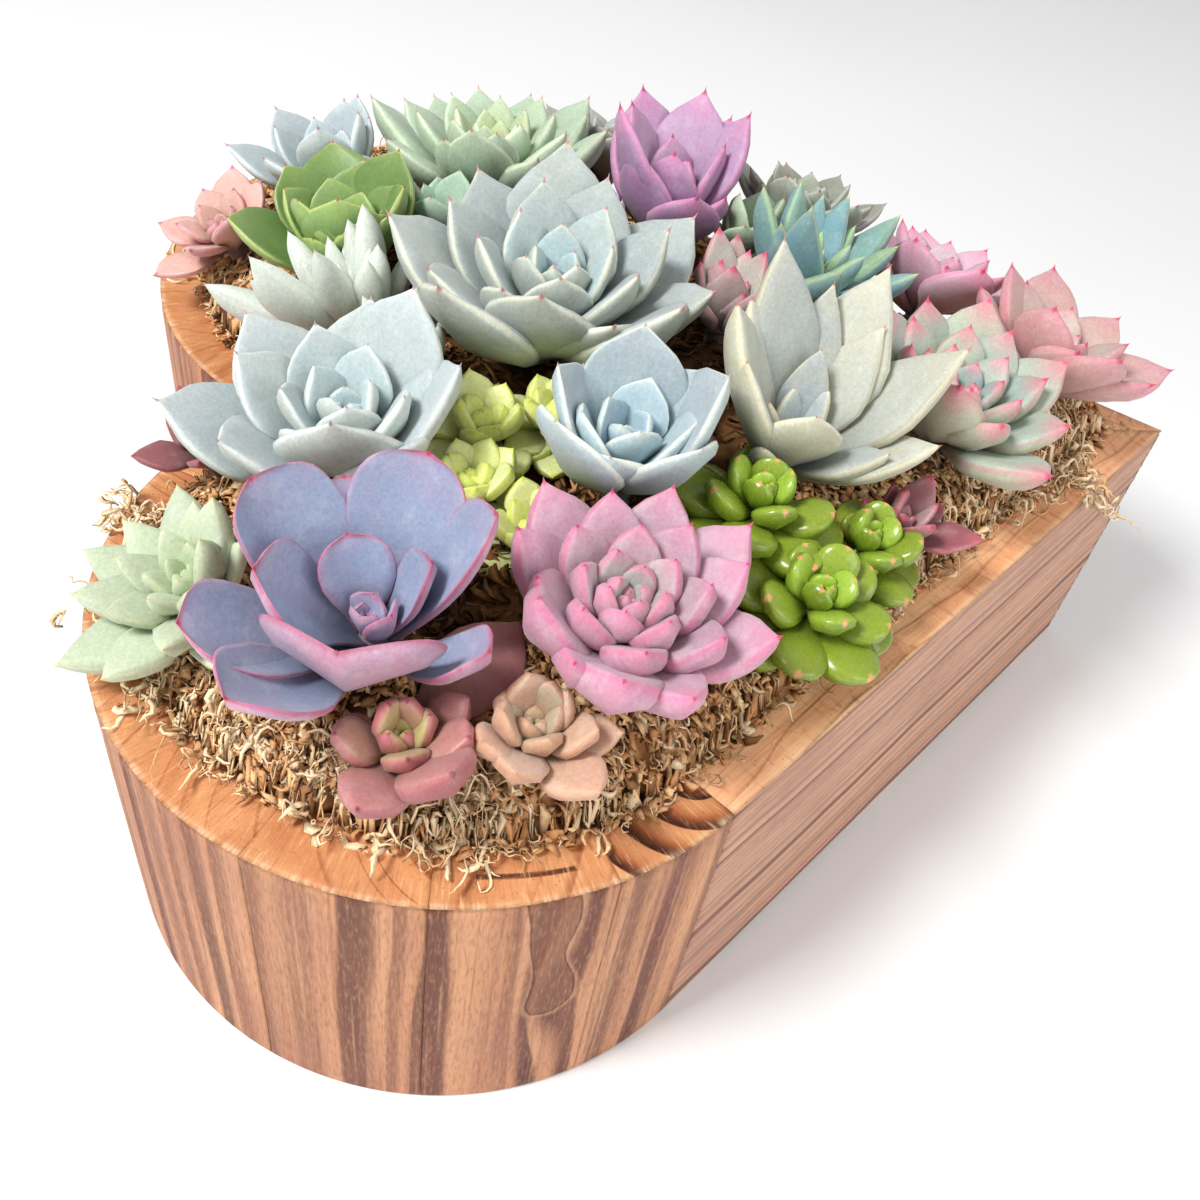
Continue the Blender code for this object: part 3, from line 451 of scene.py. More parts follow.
def half_thickness(along):
    """Half thickness of a leaf as a share of its thickest."""
    swell = 0.55 + 0.45 * np.sin(np.clip(along / 0.7, 0, 1) * math.pi / 2)
    return swell * (1 - np.clip((along - 0.45) / 0.55, 0, 1) ** 2.2) ** 0.6


def leaf_points(leaf, along, around):
    """Points of a leaf's skin in its rosette's frame: around is 0 at an edge and a right angle on top."""
    along, around = np.broadcast_arrays(np.asarray(along, float), np.asarray(around, float))
    shape = SHAPES[leaf["shape"]]
    length = leaf["length"]
    azimuth = math.radians(leaf["azimuth"])
    start = math.radians(leaf["rise"] - leaf["curl"] / 2)
    bend = math.radians(leaf["curl"])
    slope = start + bend * along
    out = leaf["out"] + length * (np.sin(slope) - math.sin(start)) / bend
    up = leaf["up"] + length * (math.cos(start) - np.cos(slope)) / bend
    width = length * shape.wide * leaf["broad"] * half_width(shape, np.clip(along, 0, 1))
    thick = max(length * shape.thick, 0.0007) * leaf["fat"] * half_thickness(np.clip(along, 0, 1))
    across = width * np.cos(around)
    lower = np.where(np.sin(around) < 0, 1.25, 0.75)
    above = shape.cup * leaf["cupped"] * width * np.cos(around) ** 2 + thick * lower * np.sin(around)
    x = (out - np.sin(slope) * above) * math.cos(azimuth) - across * math.sin(azimuth)
    y = (out - np.sin(slope) * above) * math.sin(azimuth) + across * math.cos(azimuth)
    return np.stack([x, y, up + np.cos(slope) * above], -1)


def lean_matrix(plant):
    """Turns a rosette's upright frame by the plant's lean."""
    lean, towards = (math.radians(value) for value in plant["lean"])
    east, north = math.cos(towards), math.sin(towards)
    axis = np.array([[0, 0, east], [0, 0, north], [-east, -north, 0]])
    return np.eye(3) + math.sin(lean) * axis + (1 - math.cos(lean)) * axis @ axis


def crown_of(plant):
    """Where the plant's leaves spring from."""
    x, y, rise = plant["at"]
    return np.array([x * MM, y * MM, BOARD_HEIGHT + rise * MM])


def root_of(plant):
    """Where the plant's stem stands in the soil: under its crown, or the nearest place inside the wall."""
    x, y, _ = crown_of(plant)
    while depth_inside(x, y) < WALL + STEM_MARGIN:
        inward = np.array([depth_inside(x + MM, y), depth_inside(x, y + MM)]) - depth_inside(x, y)
        x, y = np.array([x, y]) + inward / np.linalg.norm(inward) * MM / 4
    return np.array([x, y])


def crown_drop(plant):
    """How far below its crown a plant's lowest leaves spring from its core."""
    longest = max(row[1] for row in plant["leaves"]) if "leaves" in plant else plant["length"][1]
    room = plant["at"][2] * MM - moss_rise(depth_inside(*root_of(plant))) - CROWN_CLEARANCE
    return max(min(CROWN_DROP_SHARE * longest * MM, room), MM)


def in_place(plant, points):
    """Points of a rosette's frame where they stand in the planter."""
    return points @ lean_matrix(plant).T + crown_of(plant)


def wished_leaves(plant):
    """The leaves of a plant before its neighbours press on them, from the innermost out."""
    leaves = []
    if "leaves" in plant:
        rows = plant["leaves"]
    else:
        rows = []
        for number in range(plant["count"]):
            share = number / (plant["count"] - 1)
            length = plant["length"][0] + (plant["length"][1] - plant["length"][0]) * share**0.8
            rise = plant["rise"][0] + (plant["rise"][1] - plant["rise"][0]) * share**0.9
            rows.append((plant["turn"] + number * GOLDEN_ANGLE, length, rise, plant["curl"]))
    drop = crown_drop(plant)
    for number, (azimuth, length, rise, curl, *broader) in enumerate(rows):
        share = number / (len(rows) - 1)
        leaves.append(
            dict(
                shape=plant["shape"], azimuth=azimuth, length=length * MM, rise=rise, curl=curl,
                out=plant["core"] * MM * share, up=-drop * share,
                broad=plant["broad"] * (broader[0] if broader else 1), fat=plant["fat"],
                cupped=plant["cupped"],
            )
        )
    return leaves


def walls_between(plants):
    """For each plant, the planes (normal, offset) that part it from its neighbours."""
    walls = {plant["name"]: [] for plant in plants}
    for first, second in itertools.combinations(plants, 2):
        a, b = crown_of(first), crown_of(second)
        gap = b - a
        gap[2] = 0
        distance = np.linalg.norm(gap)
        both = (first["spread"] + second["spread"]) * MM
        if distance > NEIGHBOUR_REACH * both:
            continue
        middle = a + gap * first["spread"] * MM / both
        middle[2] = (a[2] + b[2]) / 2
        normal = gap / distance
        normal[2] = -np.clip((a[2] - b[2]) / NEIGHBOUR_SLOPE, -MOST_OVERHANG, MOST_OVERHANG)
        normal /= np.linalg.norm(normal)
        walls[first["name"]].append((normal, normal @ middle - NEIGHBOUR_CLEARANCE))
        walls[second["name"]].append((-normal, -normal @ middle - NEIGHBOUR_CLEARANCE))
    return walls


def leaf_fits(plant, leaf, walls):
    """Whether a leaf stays on its own side of each wall and above the moss."""
    around = np.arange(4) * math.pi / 2
    skin = leaf_points(leaf, np.array(TESTED_ALONG)[:, None], around)
    points = in_place(plant, skin).reshape(-1, 3)
    if any((points @ normal).max() > offset for normal, offset in walls):
        return False
    return all(z > BOARD_HEIGHT + moss_rise(depth_inside(x, y)) + LEAF_CLEARANCE for x, y, z in points)


def fitted_leaf(plant, leaf, walls):
    """The leaf raised, and then shortened, until it fits."""
    for shorter in range(MOST_SHORTENINGS):
        for raised in range(0, MOST_RAISED, RAISE_STEP):
            trial = dict(leaf)
            trial["length"] = leaf["length"] * SHORTER_SHARE**shorter
            trial["rise"] = min(leaf["rise"] + raised, max(leaf["rise"], STEEPEST_RISE))
            if leaf_fits(plant, trial, walls):
                return trial
    return trial


def planted(plants):
    """Each plant's name with its leaves as they fit between their neighbours."""
    walls = walls_between(plants)
    return {
        plant["name"]: [fitted_leaf(plant, leaf, walls[plant["name"]]) for leaf in wished_leaves(plant)]
        for plant in plants
    }

def linear(rgb):
    """A colour of sRGB values, 0 to 255, as Blender takes it."""
    return (*[(value / 255 / 12.92) if value < 11 else ((value / 255 + 0.055) / 1.055) ** 2.4 for value in rgb], 1)


class Nodes:
    """A material whose nodes are made by short calls. What a call gives back can go into the next one."""

    def __init__(self, name):
        self.material = bpy.data.materials.new(name)
        self.material.use_nodes = True
        self.tree = self.material.node_tree
        self.shader = self.tree.nodes["Principled BSDF"]

    def node(self, kind, inputs, output=0, **settings):
        made = self.tree.nodes.new(kind)
        for key, value in settings.items():
            setattr(made, key, value)
        for key, value in inputs.items():
            self.set(made.inputs[key], value)
        return made.outputs[output]

    def set(self, socket, value):
        if isinstance(value, bpy.types.NodeSocket):
            self.tree.links.new(value, socket)
        else:
            socket.default_value = value

    def finish(self, **inputs):
        for key, value in inputs.items():
            self.set(self.shader.inputs[key.replace("_", " ")], value)
        return self.material

    def attribute(self, name, output=2):
        return self.node("ShaderNodeAttribute", {}, output, attribute_name=name)

    def place(self):
        return self.node("ShaderNodeTexCoord", {}, 3)

    def scaled(self, vector, scale):
        return self.node("ShaderNodeVectorMath", {0: vector, 1: scale}, operation="MULTIPLY")

    def noise(self, scale, detail=2, vector=None, rough=0.5, wavy=0.0):
        inputs = {"Vector": vector or self.place(), "Scale": scale, "Detail": detail, "Roughness": rough}
        inputs["Distortion"] = wavy
        return self.node("ShaderNodeTexNoise", inputs)

    def dots(self, scale, size):
        """1 in scattered small dots and 0 between them."""
        far = self.node("ShaderNodeTexVoronoi", {"Vector": self.place(), "Scale": scale})
        return self.span(far, size, size * 0.4)

    def sum(self, a, b, operation="ADD"):
        return self.node("ShaderNodeMath", {0: a, 1: b}, operation=operation)

    def times(self, a, b):
        return self.sum(a, b, "MULTIPLY")

    def span(self, value, low, high, bottom=0.0, top=1.0):
        """Turns the range from low to high smoothly into the range from bottom to top."""
        inputs = {"Value": value, "From Min": low, "From Max": high, "To Min": bottom, "To Max": top}
        return self.node("ShaderNodeMapRange", inputs, interpolation_type="SMOOTHSTEP")

    def mix(self, share, a, b, blend="MIX"):
        a, b = (linear(end) if isinstance(end, tuple) and len(end) == 3 else end for end in (a, b))
        return self.node("ShaderNodeMix", {0: share, 6: a, 7: b}, 2, data_type="RGBA", blend_type=blend)

    def shaded(self, colour, factor):
        """The colour made darker or lighter by a factor."""
        grey = self.node("ShaderNodeCombineColor", {0: factor, 1: factor, 2: factor})
        return self.mix(1.0, colour, grey, "MULTIPLY")

    def bump(self, height, depth, strength=1.0, normal=None):
        inputs = {"Height": height, "Distance": depth, "Strength": strength}
        if normal:
            inputs["Normal"] = normal
        return self.node("ShaderNodeBump", inputs)


def piece(name, points, faces, finish, attributes, replaced=(), smooth=True):
    """Makes a mesh of points and faces a piece of the object, with the numbers that its material reads."""
    mesh = bpy.data.meshes.new(name)
    corners = np.concatenate([np.asarray(block).ravel() for block in faces])
    sizes = np.concatenate([np.full(len(block), len(block[0])) for block in faces])
    mesh.vertices.add(len(points))
    mesh.vertices.foreach_set("co", np.asarray(points, np.float32).ravel())
    mesh.loops.add(len(corners))
    mesh.loops.foreach_set("vertex_index", corners.astype(np.int32))
    mesh.polygons.add(len(sizes))
    mesh.polygons.foreach_set("loop_start", np.r_[0, np.cumsum(sizes)[:-1]].astype(np.int32))
    mesh.update(calc_edges=True)
    mesh.polygons.foreach_set("use_smooth", np.full(len(sizes), smooth))
    for key, values in attributes.items():
        values = np.asarray(values, np.float32)
        kind = "FLOAT_VECTOR" if values.ndim == 2 else "FLOAT"
        field = "vector" if values.ndim == 2 else "value"
        mesh.attributes.new(key, kind, "POINT").data.foreach_set(field, values.ravel())
    mesh.validate()
    mesh.materials.append(finish)
    made = bpy.data.objects.new(name, mesh)
    bpy.context.scene.collection.objects.link(made)
    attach(made, "root")
    if replaced:
        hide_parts(*replaced)
    return made


def tube_faces(rings, sides, caps=True):
    """Faces of a tube whose points are laid ring by ring, and of its two ends."""
    first = np.arange(rings - 1)[:, None] * sides + np.arange(sides)
    second = np.arange(rings - 1)[:, None] * sides + (np.arange(sides) + 1) % sides
    walls = np.stack([first, second, second + sides, first + sides], -1).reshape(-1, 4)
    if not caps:
        return [walls]
    return [walls, np.arange(sides)[None, ::-1], (rings - 1) * sides + np.arange(sides)[None, :]]


def species(name):
    """The kind of plant that a node's name tells."""
    return name.replace("_rosette", "").split("_head")[0]


def fine_leaf(leaf, random):
    """A leaf's skin as points, and the numbers that its material reads, with the bristle at its end."""
    shape = SHAPES[leaf["shape"]]
    length = leaf["length"]
    bristle = max(shape.bristle * length * BRISTLE_SHARE, 0) / length
    fine = int(length > FINE_LEAF)
    along = np.r_[LEAF_ALONG[fine], 1 + bristle * np.array([0.3, 1.0])][:, None]
    around = np.radians(LEAF_AROUND[fine])[None, :]
    blade = np.clip(along, 0, 1)
    azimuth = math.radians(leaf["azimuth"])
    start = math.radians(leaf["rise"] - leaf["curl"] / 2)
    bend = math.radians(leaf["curl"])
    slope = start + bend * blade
    out = leaf["out"] + length * (np.sin(slope) - math.sin(start)) / bend
    up = leaf["up"] + length * (math.cos(start) - np.cos(slope)) / bend
    past = (along - blade) * length
    slope_past = slope + past / length * 2
    out = out + np.cos(slope_past) * past
    up = up + np.sin(slope_past) * past
    widest = length * shape.wide * leaf["broad"]
    ripple = 1 + 0.018 * np.sin(along * 9 + random.uniform(0, 6)) + 0.012 * np.sin(along * 17 + random.uniform(0, 6))
    pointed = POINTED if shape.bristle > 0 and shape.blunt < 2 else 0.0
    width = widest * half_width(shape, blade) * ripple * (1 - pointed * np.clip((blade - 0.84) / 0.16, 0, 1))
    thickest = max(length * shape.thick, 0.0007) * leaf["fat"]
    thick = thickest * half_thickness(blade) * (1 - pointed * np.clip((blade - 0.84) / 0.16, 0, 1))
    point = np.clip((1 + bristle - along) / (bristle + POINT_SHARE), 0, 1)
    stub = min(BRISTLE_WIDTH, 0.3 * widest) * point**1.2
    if bristle > 0:
        width = np.hypot(width, stub)
        thick = np.hypot(thick, stub * 0.8)
    side = np.cos(around)
    lower = np.where(np.sin(around) < 0, 1.25, 0.75)
    keel = np.where(np.sin(around) < 0, 0.16, 0.0) * thick * np.abs(np.sin(around)) ** 12
    rounded = np.sign(np.sin(around)) * np.abs(np.sin(around)) ** MARGIN_ROUND
    above = shape.cup * leaf["cupped"] * width * np.abs(side) ** 1.8 + thick * lower * rounded - keel
    twist = math.radians(random.normal(0, LEAF_TWIST)) * (blade - 0.2)
    across = width * side * np.cos(twist) - above * np.sin(twist)
    above = above * np.cos(twist) + width * side * np.sin(twist)
    across = across + random.normal(0, LEAF_SWAY) * length * blade**2
    x = (out - np.sin(slope) * above) * math.cos(azimuth) - across * math.sin(azimuth)
    y = (out - np.sin(slope) * above) * math.sin(azimuth) + across * math.cos(azimuth)
    points = np.stack([x, y, up + np.cos(slope) * above], -1)
    from_side = np.hypot(width * (1 - np.abs(side)), thick * rounded)
    from_end = (1 - blade) * length * 0.8 * np.ones_like(side)
    return points, dict(
        edge=np.exp(-np.minimum(from_side, from_end) / EDGE_WIDTH),
        along=np.clip(along, 0, 1.1) * np.ones_like(side),
        far=np.hypot((1 - blade) * length, width * side) / length,
        under=np.clip(0.5 - 2 * np.sin(around), 0, 1) * np.ones_like(along),
    )


def bud_leaves(plant, leaves):
    """The smallest leaves, which close a rosette's middle."""
    inner = leaves[0]
    buds = []
    for number in range(BUD_LEAVES):
        share = (number + 1) / BUD_LEAVES
        bud = dict(inner)
        bud["azimuth"] = inner["azimuth"] - (number + 1) * GOLDEN_ANGLE
        bud["length"] = inner["length"] * (1 - 0.62 * share)
        bud["rise"] = min(inner["rise"] + 8 * share, 88)
        bud["curl"] = inner["curl"] + 14
        bud["broad"] = inner["broad"] * (1 + 0.1 * share)
        bud["out"] = inner["out"] * (1 - share)
        bud["up"] = inner["up"] + 0.0006 * share
        buds.append(bud)
    return buds[::-1]


def skirt_leaves(plant, leaves):
    """Older leaves that hang round a small head's stem, below the ones that the solid has."""
    longest = max(leaf["length"] for leaf in leaves)
    kind = species(plant["name"])
    count = SKIRTS.get(kind, 0)
    skirt = []
    for number in range(count):
        older = dict(leaves[-1], azimuth=70 + number * GOLDEN_ANGLE, length=longest * 1.08, rise=14 - 14 * number / count)
        older["up"] = -0.003 - 0.005 * number / count
        older["out"] = 0.001
        skirt.append(older)
    if kind in REACHING:
        azimuth, length, rise, curl, broad = REACHING[kind]
        skirt.append(dict(leaves[-1], azimuth=azimuth, length=length * MM, rise=rise, curl=curl, broad=broad))
    return skirt


def leaf_material(kind):
    """The skin of one kind of plant: its colours from foot to tip and edge, under a powdery bloom, with painted
    shade that darkens each leaf towards its foot.
    """
    look = LOOKS[kind]
    made = Nodes(kind + "_leaves")
    along, edge, under = (made.attribute(name) for name in ("along", "edge", "under"))
    age, chance = made.attribute("age"), made.attribute("chance")
    patches = made.noise(90, 3)
    grain = made.noise(1500, 3)
    body = made.mix(made.span(age, 0.0, 0.7), look.young, look.body)
    body = made.mix(made.span(along, 0.1, 0.75), made.mix(0.55, body, look.foot), body)
    body = made.mix(made.span(patches, 0.42, 0.66, 0, look.blend), body, look.under)
    body = made.mix(made.span(chance, 0.35, 0.85, 0, VARIED.get(kind, 0.2)), body, look.under)
    below = made.mix(made.span(patches, 0.35, 0.7, 0, 0.5), look.under, body)
    face = made.mix(under, body, below)
    reach = made.sum(edge, made.times(made.sum(patches, -0.5), 0.7))
    margin = made.times(made.span(reach, look.narrow, 0.9), made.span(age, 0, 0.25, 0.55, 1))
    face = made.mix(made.times(margin, look.edged), face, look.edge)
    far = made.attribute("far")
    face = made.mix(made.span(far, 0.02, 0.3, FLUSHED.get(kind, 0.15), 0), face, look.edge)
    face = made.mix(made.span(far, look.tipped * 0.3, look.tipped, 1, 0), face, look.tip)
    spots = made.times(made.dots(520, 0.2), made.span(patches, 0.45, 0.6, 0, look.spots))
    face = made.mix(spots, face, look.edge)
    flecks = made.noise(900, 4, rough=0.65)
    cloud = made.noise(210, 4, rough=0.6)
    value = made.sum(made.span(grain, 0.25, 0.75, 0.93, 1.07), made.span(chance, 0, 1, -0.07, 0.07))
    value = made.sum(value, made.span(flecks, 0.3, 0.7, -0.06, 0.06))
    # Painted shade: each leaf is darkened towards its foot, to 0.3 of its colour there.
    value = made.times(value, made.span(along, 0.0, 0.62, 0.3, 1.0))
    face = made.mix(made.span(cloud, 0.45, 0.75, 0, look.bloom), face, (232, 236, 238))
    face = made.shaded(face, value)
    normal = made.bump(made.noise(300, 3), 0.0002, 0.4)
    return made.finish(
        Base_Color=face,
        Roughness=made.span(grain, 0.3, 0.7, look.rough - 0.05, look.rough + 0.06),
        Normal=made.bump(grain, 0.00005, 0.25, normal),
        Specular_IOR_Level=look.gloss,
        Sheen_Weight=look.bloom,
        Sheen_Roughness=0.5,
        Subsurface_Weight=0.1,
        Subsurface_Scale=0.004,
        Subsurface_Radius=(1.0, 0.7, 0.5),
    )


def rosettes():
    """Every rosette and head, each in the place of its node."""
    finishes = {}
    fuller = [dict(plant, count=round(MORE_LEAVES * plant.get("count", 0))) for plant in PLANTS]
    for number, (plant, leaves) in enumerate(zip(PLANTS, planted(fuller).values())):
        name = plant["name"]
        kind = species(name)
        random = np.random.default_rng(100 + number)
        if kind not in finishes:
            finishes[kind] = leaf_material(kind)
        every = bud_leaves(plant, leaves) + leaves + skirt_leaves(plant, leaves)
        points, blocks, fields = [], [], []
        for index, leaf in enumerate(every):
            skin, numbers = fine_leaf(leaf, random)
            blocks += [block + sum(map(len, points)) for block in tube_faces(*skin.shape[:2])]
            points.append(in_place(plant, skin).reshape(-1, 3))
            numbers["age"] = np.full(skin.shape[:2], np.clip((index - BUD_LEAVES) / (len(leaves) - 1), 0, 1))
            numbers["chance"] = np.full(skin.shape[:2], random.random())
            fields.append({key: values.ravel() for key, values in numbers.items()})
        stem, stem_faces = stem_skin(plant)
        blocks += [block + sum(map(len, points)) for block in stem_faces]
        points.append(stem)
        # The stems read along as 0, so the painted shade at the leaves' feet darkens them to 0.3 too.
        fields.append(dict(edge=np.zeros(len(stem)), along=np.zeros(len(stem)), far=np.ones(len(stem)), under=np.ones(len(stem)),
                           age=np.ones(len(stem)), chance=np.full(len(stem), 0.5)))
        numbers = {key: np.concatenate([field[key] for field in fields]) for key in fields[0]}
        piece(name.replace("_rosette", "_plant").replace("_head", "_plant"), np.concatenate(points), blocks,
              finishes[kind], numbers, [name])


def stem_skin(plant):
    """A round stem from the soil into the rosette, as points and faces."""
    sides = 12
    radius = THIN_STEM if plant["core"] < 3 else THICK_STEM
    root = root_of(plant)
    turns = np.arange(sides) * 2 * math.pi / sides
    ring = np.c_[np.cos(turns), np.sin(turns), np.zeros(sides)]
    collar = BOARD_HEIGHT + moss_rise(depth_inside(*root))
    rings = [ring * radius + np.array([*root, height]) for height in (STEM_FOOT, collar)]
    drop = crown_drop(plant)
    for down, wide in ((1.0, 1.0), (0.7, 1.3), (0.2, 1.1), (-0.05, 0.4)):
        rings.append(in_place(plant, ring * radius * wide - np.array([0, 0, down * drop])))
    return np.concatenate(rings), tube_faces(len(rings), sides)


def swept(stations, section, place):
    """Points of a closed section swept along stations: place gives the point of a station and an inset."""
    rows = []
    for station in stations:
        rows.append([(*place(station, inset), height) for inset, height in section])
    return np.array(rows)


def wood_section(step):
    """A board's section as insets from its outside and heights: round its eased edges, in steps over its face."""
    corner = RIM_ROUND * (1 - np.sin(np.radians([0, 22.5, 45, 67.5, 90])))
    drop = RIM_ROUND * (1 - np.cos(np.radians([0, 22.5, 45, 67.5, 90])))
    foot = [(WALL, 0), (WALL / 2, 0), (EASED_EDGE, 0), (0.0003, 0.0003), (0, EASED_EDGE)]
    face = [(0, height) for height in np.arange(EASED_EDGE + step, BOARD_HEIGHT - RIM_ROUND - 0.0004, step)]
    shoulder = [(inset, BOARD_HEIGHT - low) for inset, low in zip(corner, drop[::-1])]
    across = [(inset, BOARD_HEIGHT) for inset in np.arange(RIM_ROUND + GRAIN_STEP, WALL - RIM_ROUND, GRAIN_STEP)]
    inner = [(WALL - inset, BOARD_HEIGHT - low) for inset, low in zip(corner[::-1], drop)]
    back = [(WALL, BOARD_HEIGHT * share) for share in (0.75, 0.5, 0.25)]
    return foot + face + shoulder + across + inner + back


def waves(values, seed, steps=((1.0, 1.0), (2.3, 0.5), (4.9, 0.25))):
    """A smooth uneven line over the values, from about -1 to 1."""
    phases = np.random.default_rng(seed).uniform(0, 2 * math.pi, len(steps))
    return sum(size * np.sin(rate * values + phase) for (rate, size), phase in zip(steps, phases))


def relief(ring):
    """How far a year ring stands proud of the brushed face, from 0 to 1."""
    turn = ring - np.floor(ring)
    return np.clip(1 - np.abs(turn - 0.04) / 0.3, 0, 1) + np.clip(1 - np.abs(turn - 1.04) / 0.3, 0, 1)


def wood_piece(name, node, step, stations, place, outward, rings, finish, burnt=0.0, flat=0.0):
    """One board or block: its section swept along it, with year rings that its material reads."""
    section = wood_section(step)
    points = swept(stations, section, place)
    insets = np.array([inset for inset, _ in section])[None, :]
    heights = np.array([height for _, height in section])[None, :]
    ring, grain, knot = rings(points, insets, heights)
    on_face = (insets < 0.0002) & (heights > 0.002) & (heights < BOARD_HEIGHT - 0.002)
    push = np.where(on_face, RELIEF * (relief(ring) - 0.5), 0)
    points = points + push[..., None] * np.array([outward(station) for station in stations])[:, None, :]
    top = np.broadcast_to((heights > BOARD_HEIGHT - RIM_ROUND * 0.8) * 1.0, ring.shape)
    count = len(section)
    lip = np.exp(-(insets / 0.0011) ** 2) * (0.6 + 0.4 * waves(grain[..., 1] * 900, 3))
    numbers = dict(ring=ring.ravel(), top=top.ravel(), lip=np.clip(lip, 0, 1).ravel(), grain=grain.reshape(-1, 3), knot=knot.ravel(),
                   burnt=np.full(ring.size, burnt), flat=np.full(ring.size, flat), chance=np.full(ring.size, (hash_of(name) % 97) / 97))
    return piece(name, points.reshape(-1, 3), tube_faces(len(stations), count), finish, numbers, [node])


def hash_of(name):
    """A number that stays the same for a name."""
    return sum((index + 3) * ord(letter) for index, letter in enumerate(name))


def wood_material():
    """Torched and brushed softwood: dark and light bands along the grain, orange end grain on the rim."""
    made = Nodes("brushed_wood")
    ring, top, chance = (made.attribute(name) for name in ("ring", "top", "chance"))
    grain = made.attribute("grain", 1)
    burnt = made.attribute("burnt")
    turn = made.sum(ring, 0.0, "FRACT")
    year = made.sum(ring, 0.0, "FLOOR")
    luck = made.node("ShaderNodeTexWhiteNoise", {"W": made.sum(year, made.times(chance, 50))}, noise_dimensions="1D")
    fibre = made.noise(1.0, 3, made.scaled(grain, (18, 900, 900)), 0.6)
    broad = made.noise(1.0, 2, made.scaled(grain, (6, 90, 90)))
    hair = made.noise(1.0, 2, made.scaled(grain, (7, 420, 420)), 0.7)
    brush = made.noise(1.0, 3, made.scaled(grain, (240, 1500, 1500)), 0.6, 0.4)
    late = made.times(made.span(turn, 0.12, 0.62), made.span(turn, 0.86, 0.97, 1, 0))
    late = made.times(late, made.span(luck, 0.1, 0.7, 0.45, 1.0))
    dark = made.mix(made.span(broad, 0.3, 0.7), (88, 48, 38), (120, 70, 54))
    light = made.mix(made.span(broad, 0.3, 0.7), (216, 158, 118), (188, 130, 96))
    face = made.mix(late, light, dark)
    face = made.mix(made.span(hair, 0.52, 0.7, 0, 0.4), face, (222, 170, 132))
    face = made.mix(made.span(hair, 0.46, 0.3, 0, 0.45), face, (96, 56, 44))
    face = made.mix(made.span(fibre, 0.55, 0.8, 0, 0.25), face, (216, 168, 136))
    face = made.mix(made.span(fibre, 0.45, 0.25, 0, 0.3), face, (90, 54, 44))
    knot = made.attribute("knot")
    halo = made.times(made.span(knot, 0.1, 0.4), made.span(knot, 0.44, 0.5, 1, 0))
    face = made.mix(made.times(halo, 0.55), face, (210, 156, 120))
    face = made.mix(made.span(knot, 0.47, 0.56, 0, 0.8), face, made.mix(broad, (118, 74, 56), (150, 98, 74)))
    face = made.mix(made.times(made.span(knot, 0.38, 0.48), made.span(knot, 0.5, 0.58, 0.85, 0)), face, (88, 52, 40))
    face = made.mix(made.span(brush, 0.48, 0.72, 0, 0.3), face, (222, 166, 130))
    face = made.mix(made.span(brush, 0.52, 0.3, 0, 0.36), face, (104, 62, 48))
    face = made.mix(made.times(made.attribute("flat"), 0.4), face, (216, 178, 160))
    groove = made.times(made.span(turn, 0.6, 0.88), made.span(turn, 0.9, 0.99, 1, 0))
    face = made.mix(made.times(groove, made.times(made.attribute("flat"), 0.75)), face, (104, 66, 54))
    face = made.mix(made.span(made.noise(30, 3), 0.45, 0.7, 0, 0.25), face, (158, 108, 92))
    blot = made.noise(45, 3)
    end = made.mix(made.span(broad, 0.3, 0.7), (186, 116, 72), (210, 142, 94))
    end = made.mix(made.span(chance, 0.2, 1.0, 0, 0.8), end, (184, 108, 62))
    end = made.mix(made.span(blot, 0.4, 0.7, 0, 0.5), end, (232, 176, 122))
    end = made.mix(made.span(luck, 0.0, 1.0, 0.0, 0.3), end, (232, 176, 122))
    plank = made.mix(made.span(hair, 0.35, 0.65), (238, 170, 124), (252, 200, 152))
    end = made.mix(made.attribute("flat"), end, plank)
    rings = made.times(made.span(turn, 0.78, 0.94), made.span(turn, 0.95, 1.0, 1, 0))
    end = made.mix(made.times(rings, made.span(luck, 0, 1, 0.15, 0.75)), end, (160, 92, 52))
    scorch = made.times(burnt, made.times(made.span(turn, 0.1, 0.75), made.span(turn, 0.95, 0.99, 1, 0)))
    char = made.times(scorch, made.span(turn, 0.45, 0.9, 0.0, 1.0))
    end = made.mix(scorch, end, (168, 92, 48))
    end = made.mix(char, end, (66, 32, 22))
    end = made.mix(made.span(knot, 0.86, 0.94), end, (92, 46, 28))
    rays = made.noise(1.0, 3, made.scaled(grain, (600, 1500, 160)), 0.65, 0.4)
    end = made.mix(made.span(rays, 0.53, 0.72, 0, 0.4), end, (246, 202, 148))
    end = made.mix(made.span(rays, 0.47, 0.3, 0, 0.4), end, (150, 88, 52))
    end = made.mix(made.times(made.dots(640, 0.17), 0.5), end, (130, 78, 46))
    fringe = made.times(made.attribute("lip"), made.span(rays, 0.4, 0.6, 0.35, 1.0))
    end = made.mix(fringe, end, (240, 204, 162))
    colour = made.mix(top, face, end)
    height = made.sum(made.times(late, -0.7), made.sum(made.times(fibre, 0.5), made.times(brush, 0.5)))
    return made.finish(
        Base_Color=colour,
        Roughness=made.span(fibre, 0.2, 0.8, 0.55, 0.72),
        Normal=made.bump(height, 0.0005, 0.6),
        Specular_IOR_Level=0.3,
    )


def planter():
    """The two straight boards and the glued blocks of the two lobes."""
    finish = wood_material()
    for side, word in ((-1, "left"), (1, "right")):
        side_board(side, word, finish)
        for number, (first, last) in enumerate(itertools.pairwise(BLOCK_JOINTS), 1):
            lobe_block(side, word, number, math.radians(first), math.radians(last), finish)


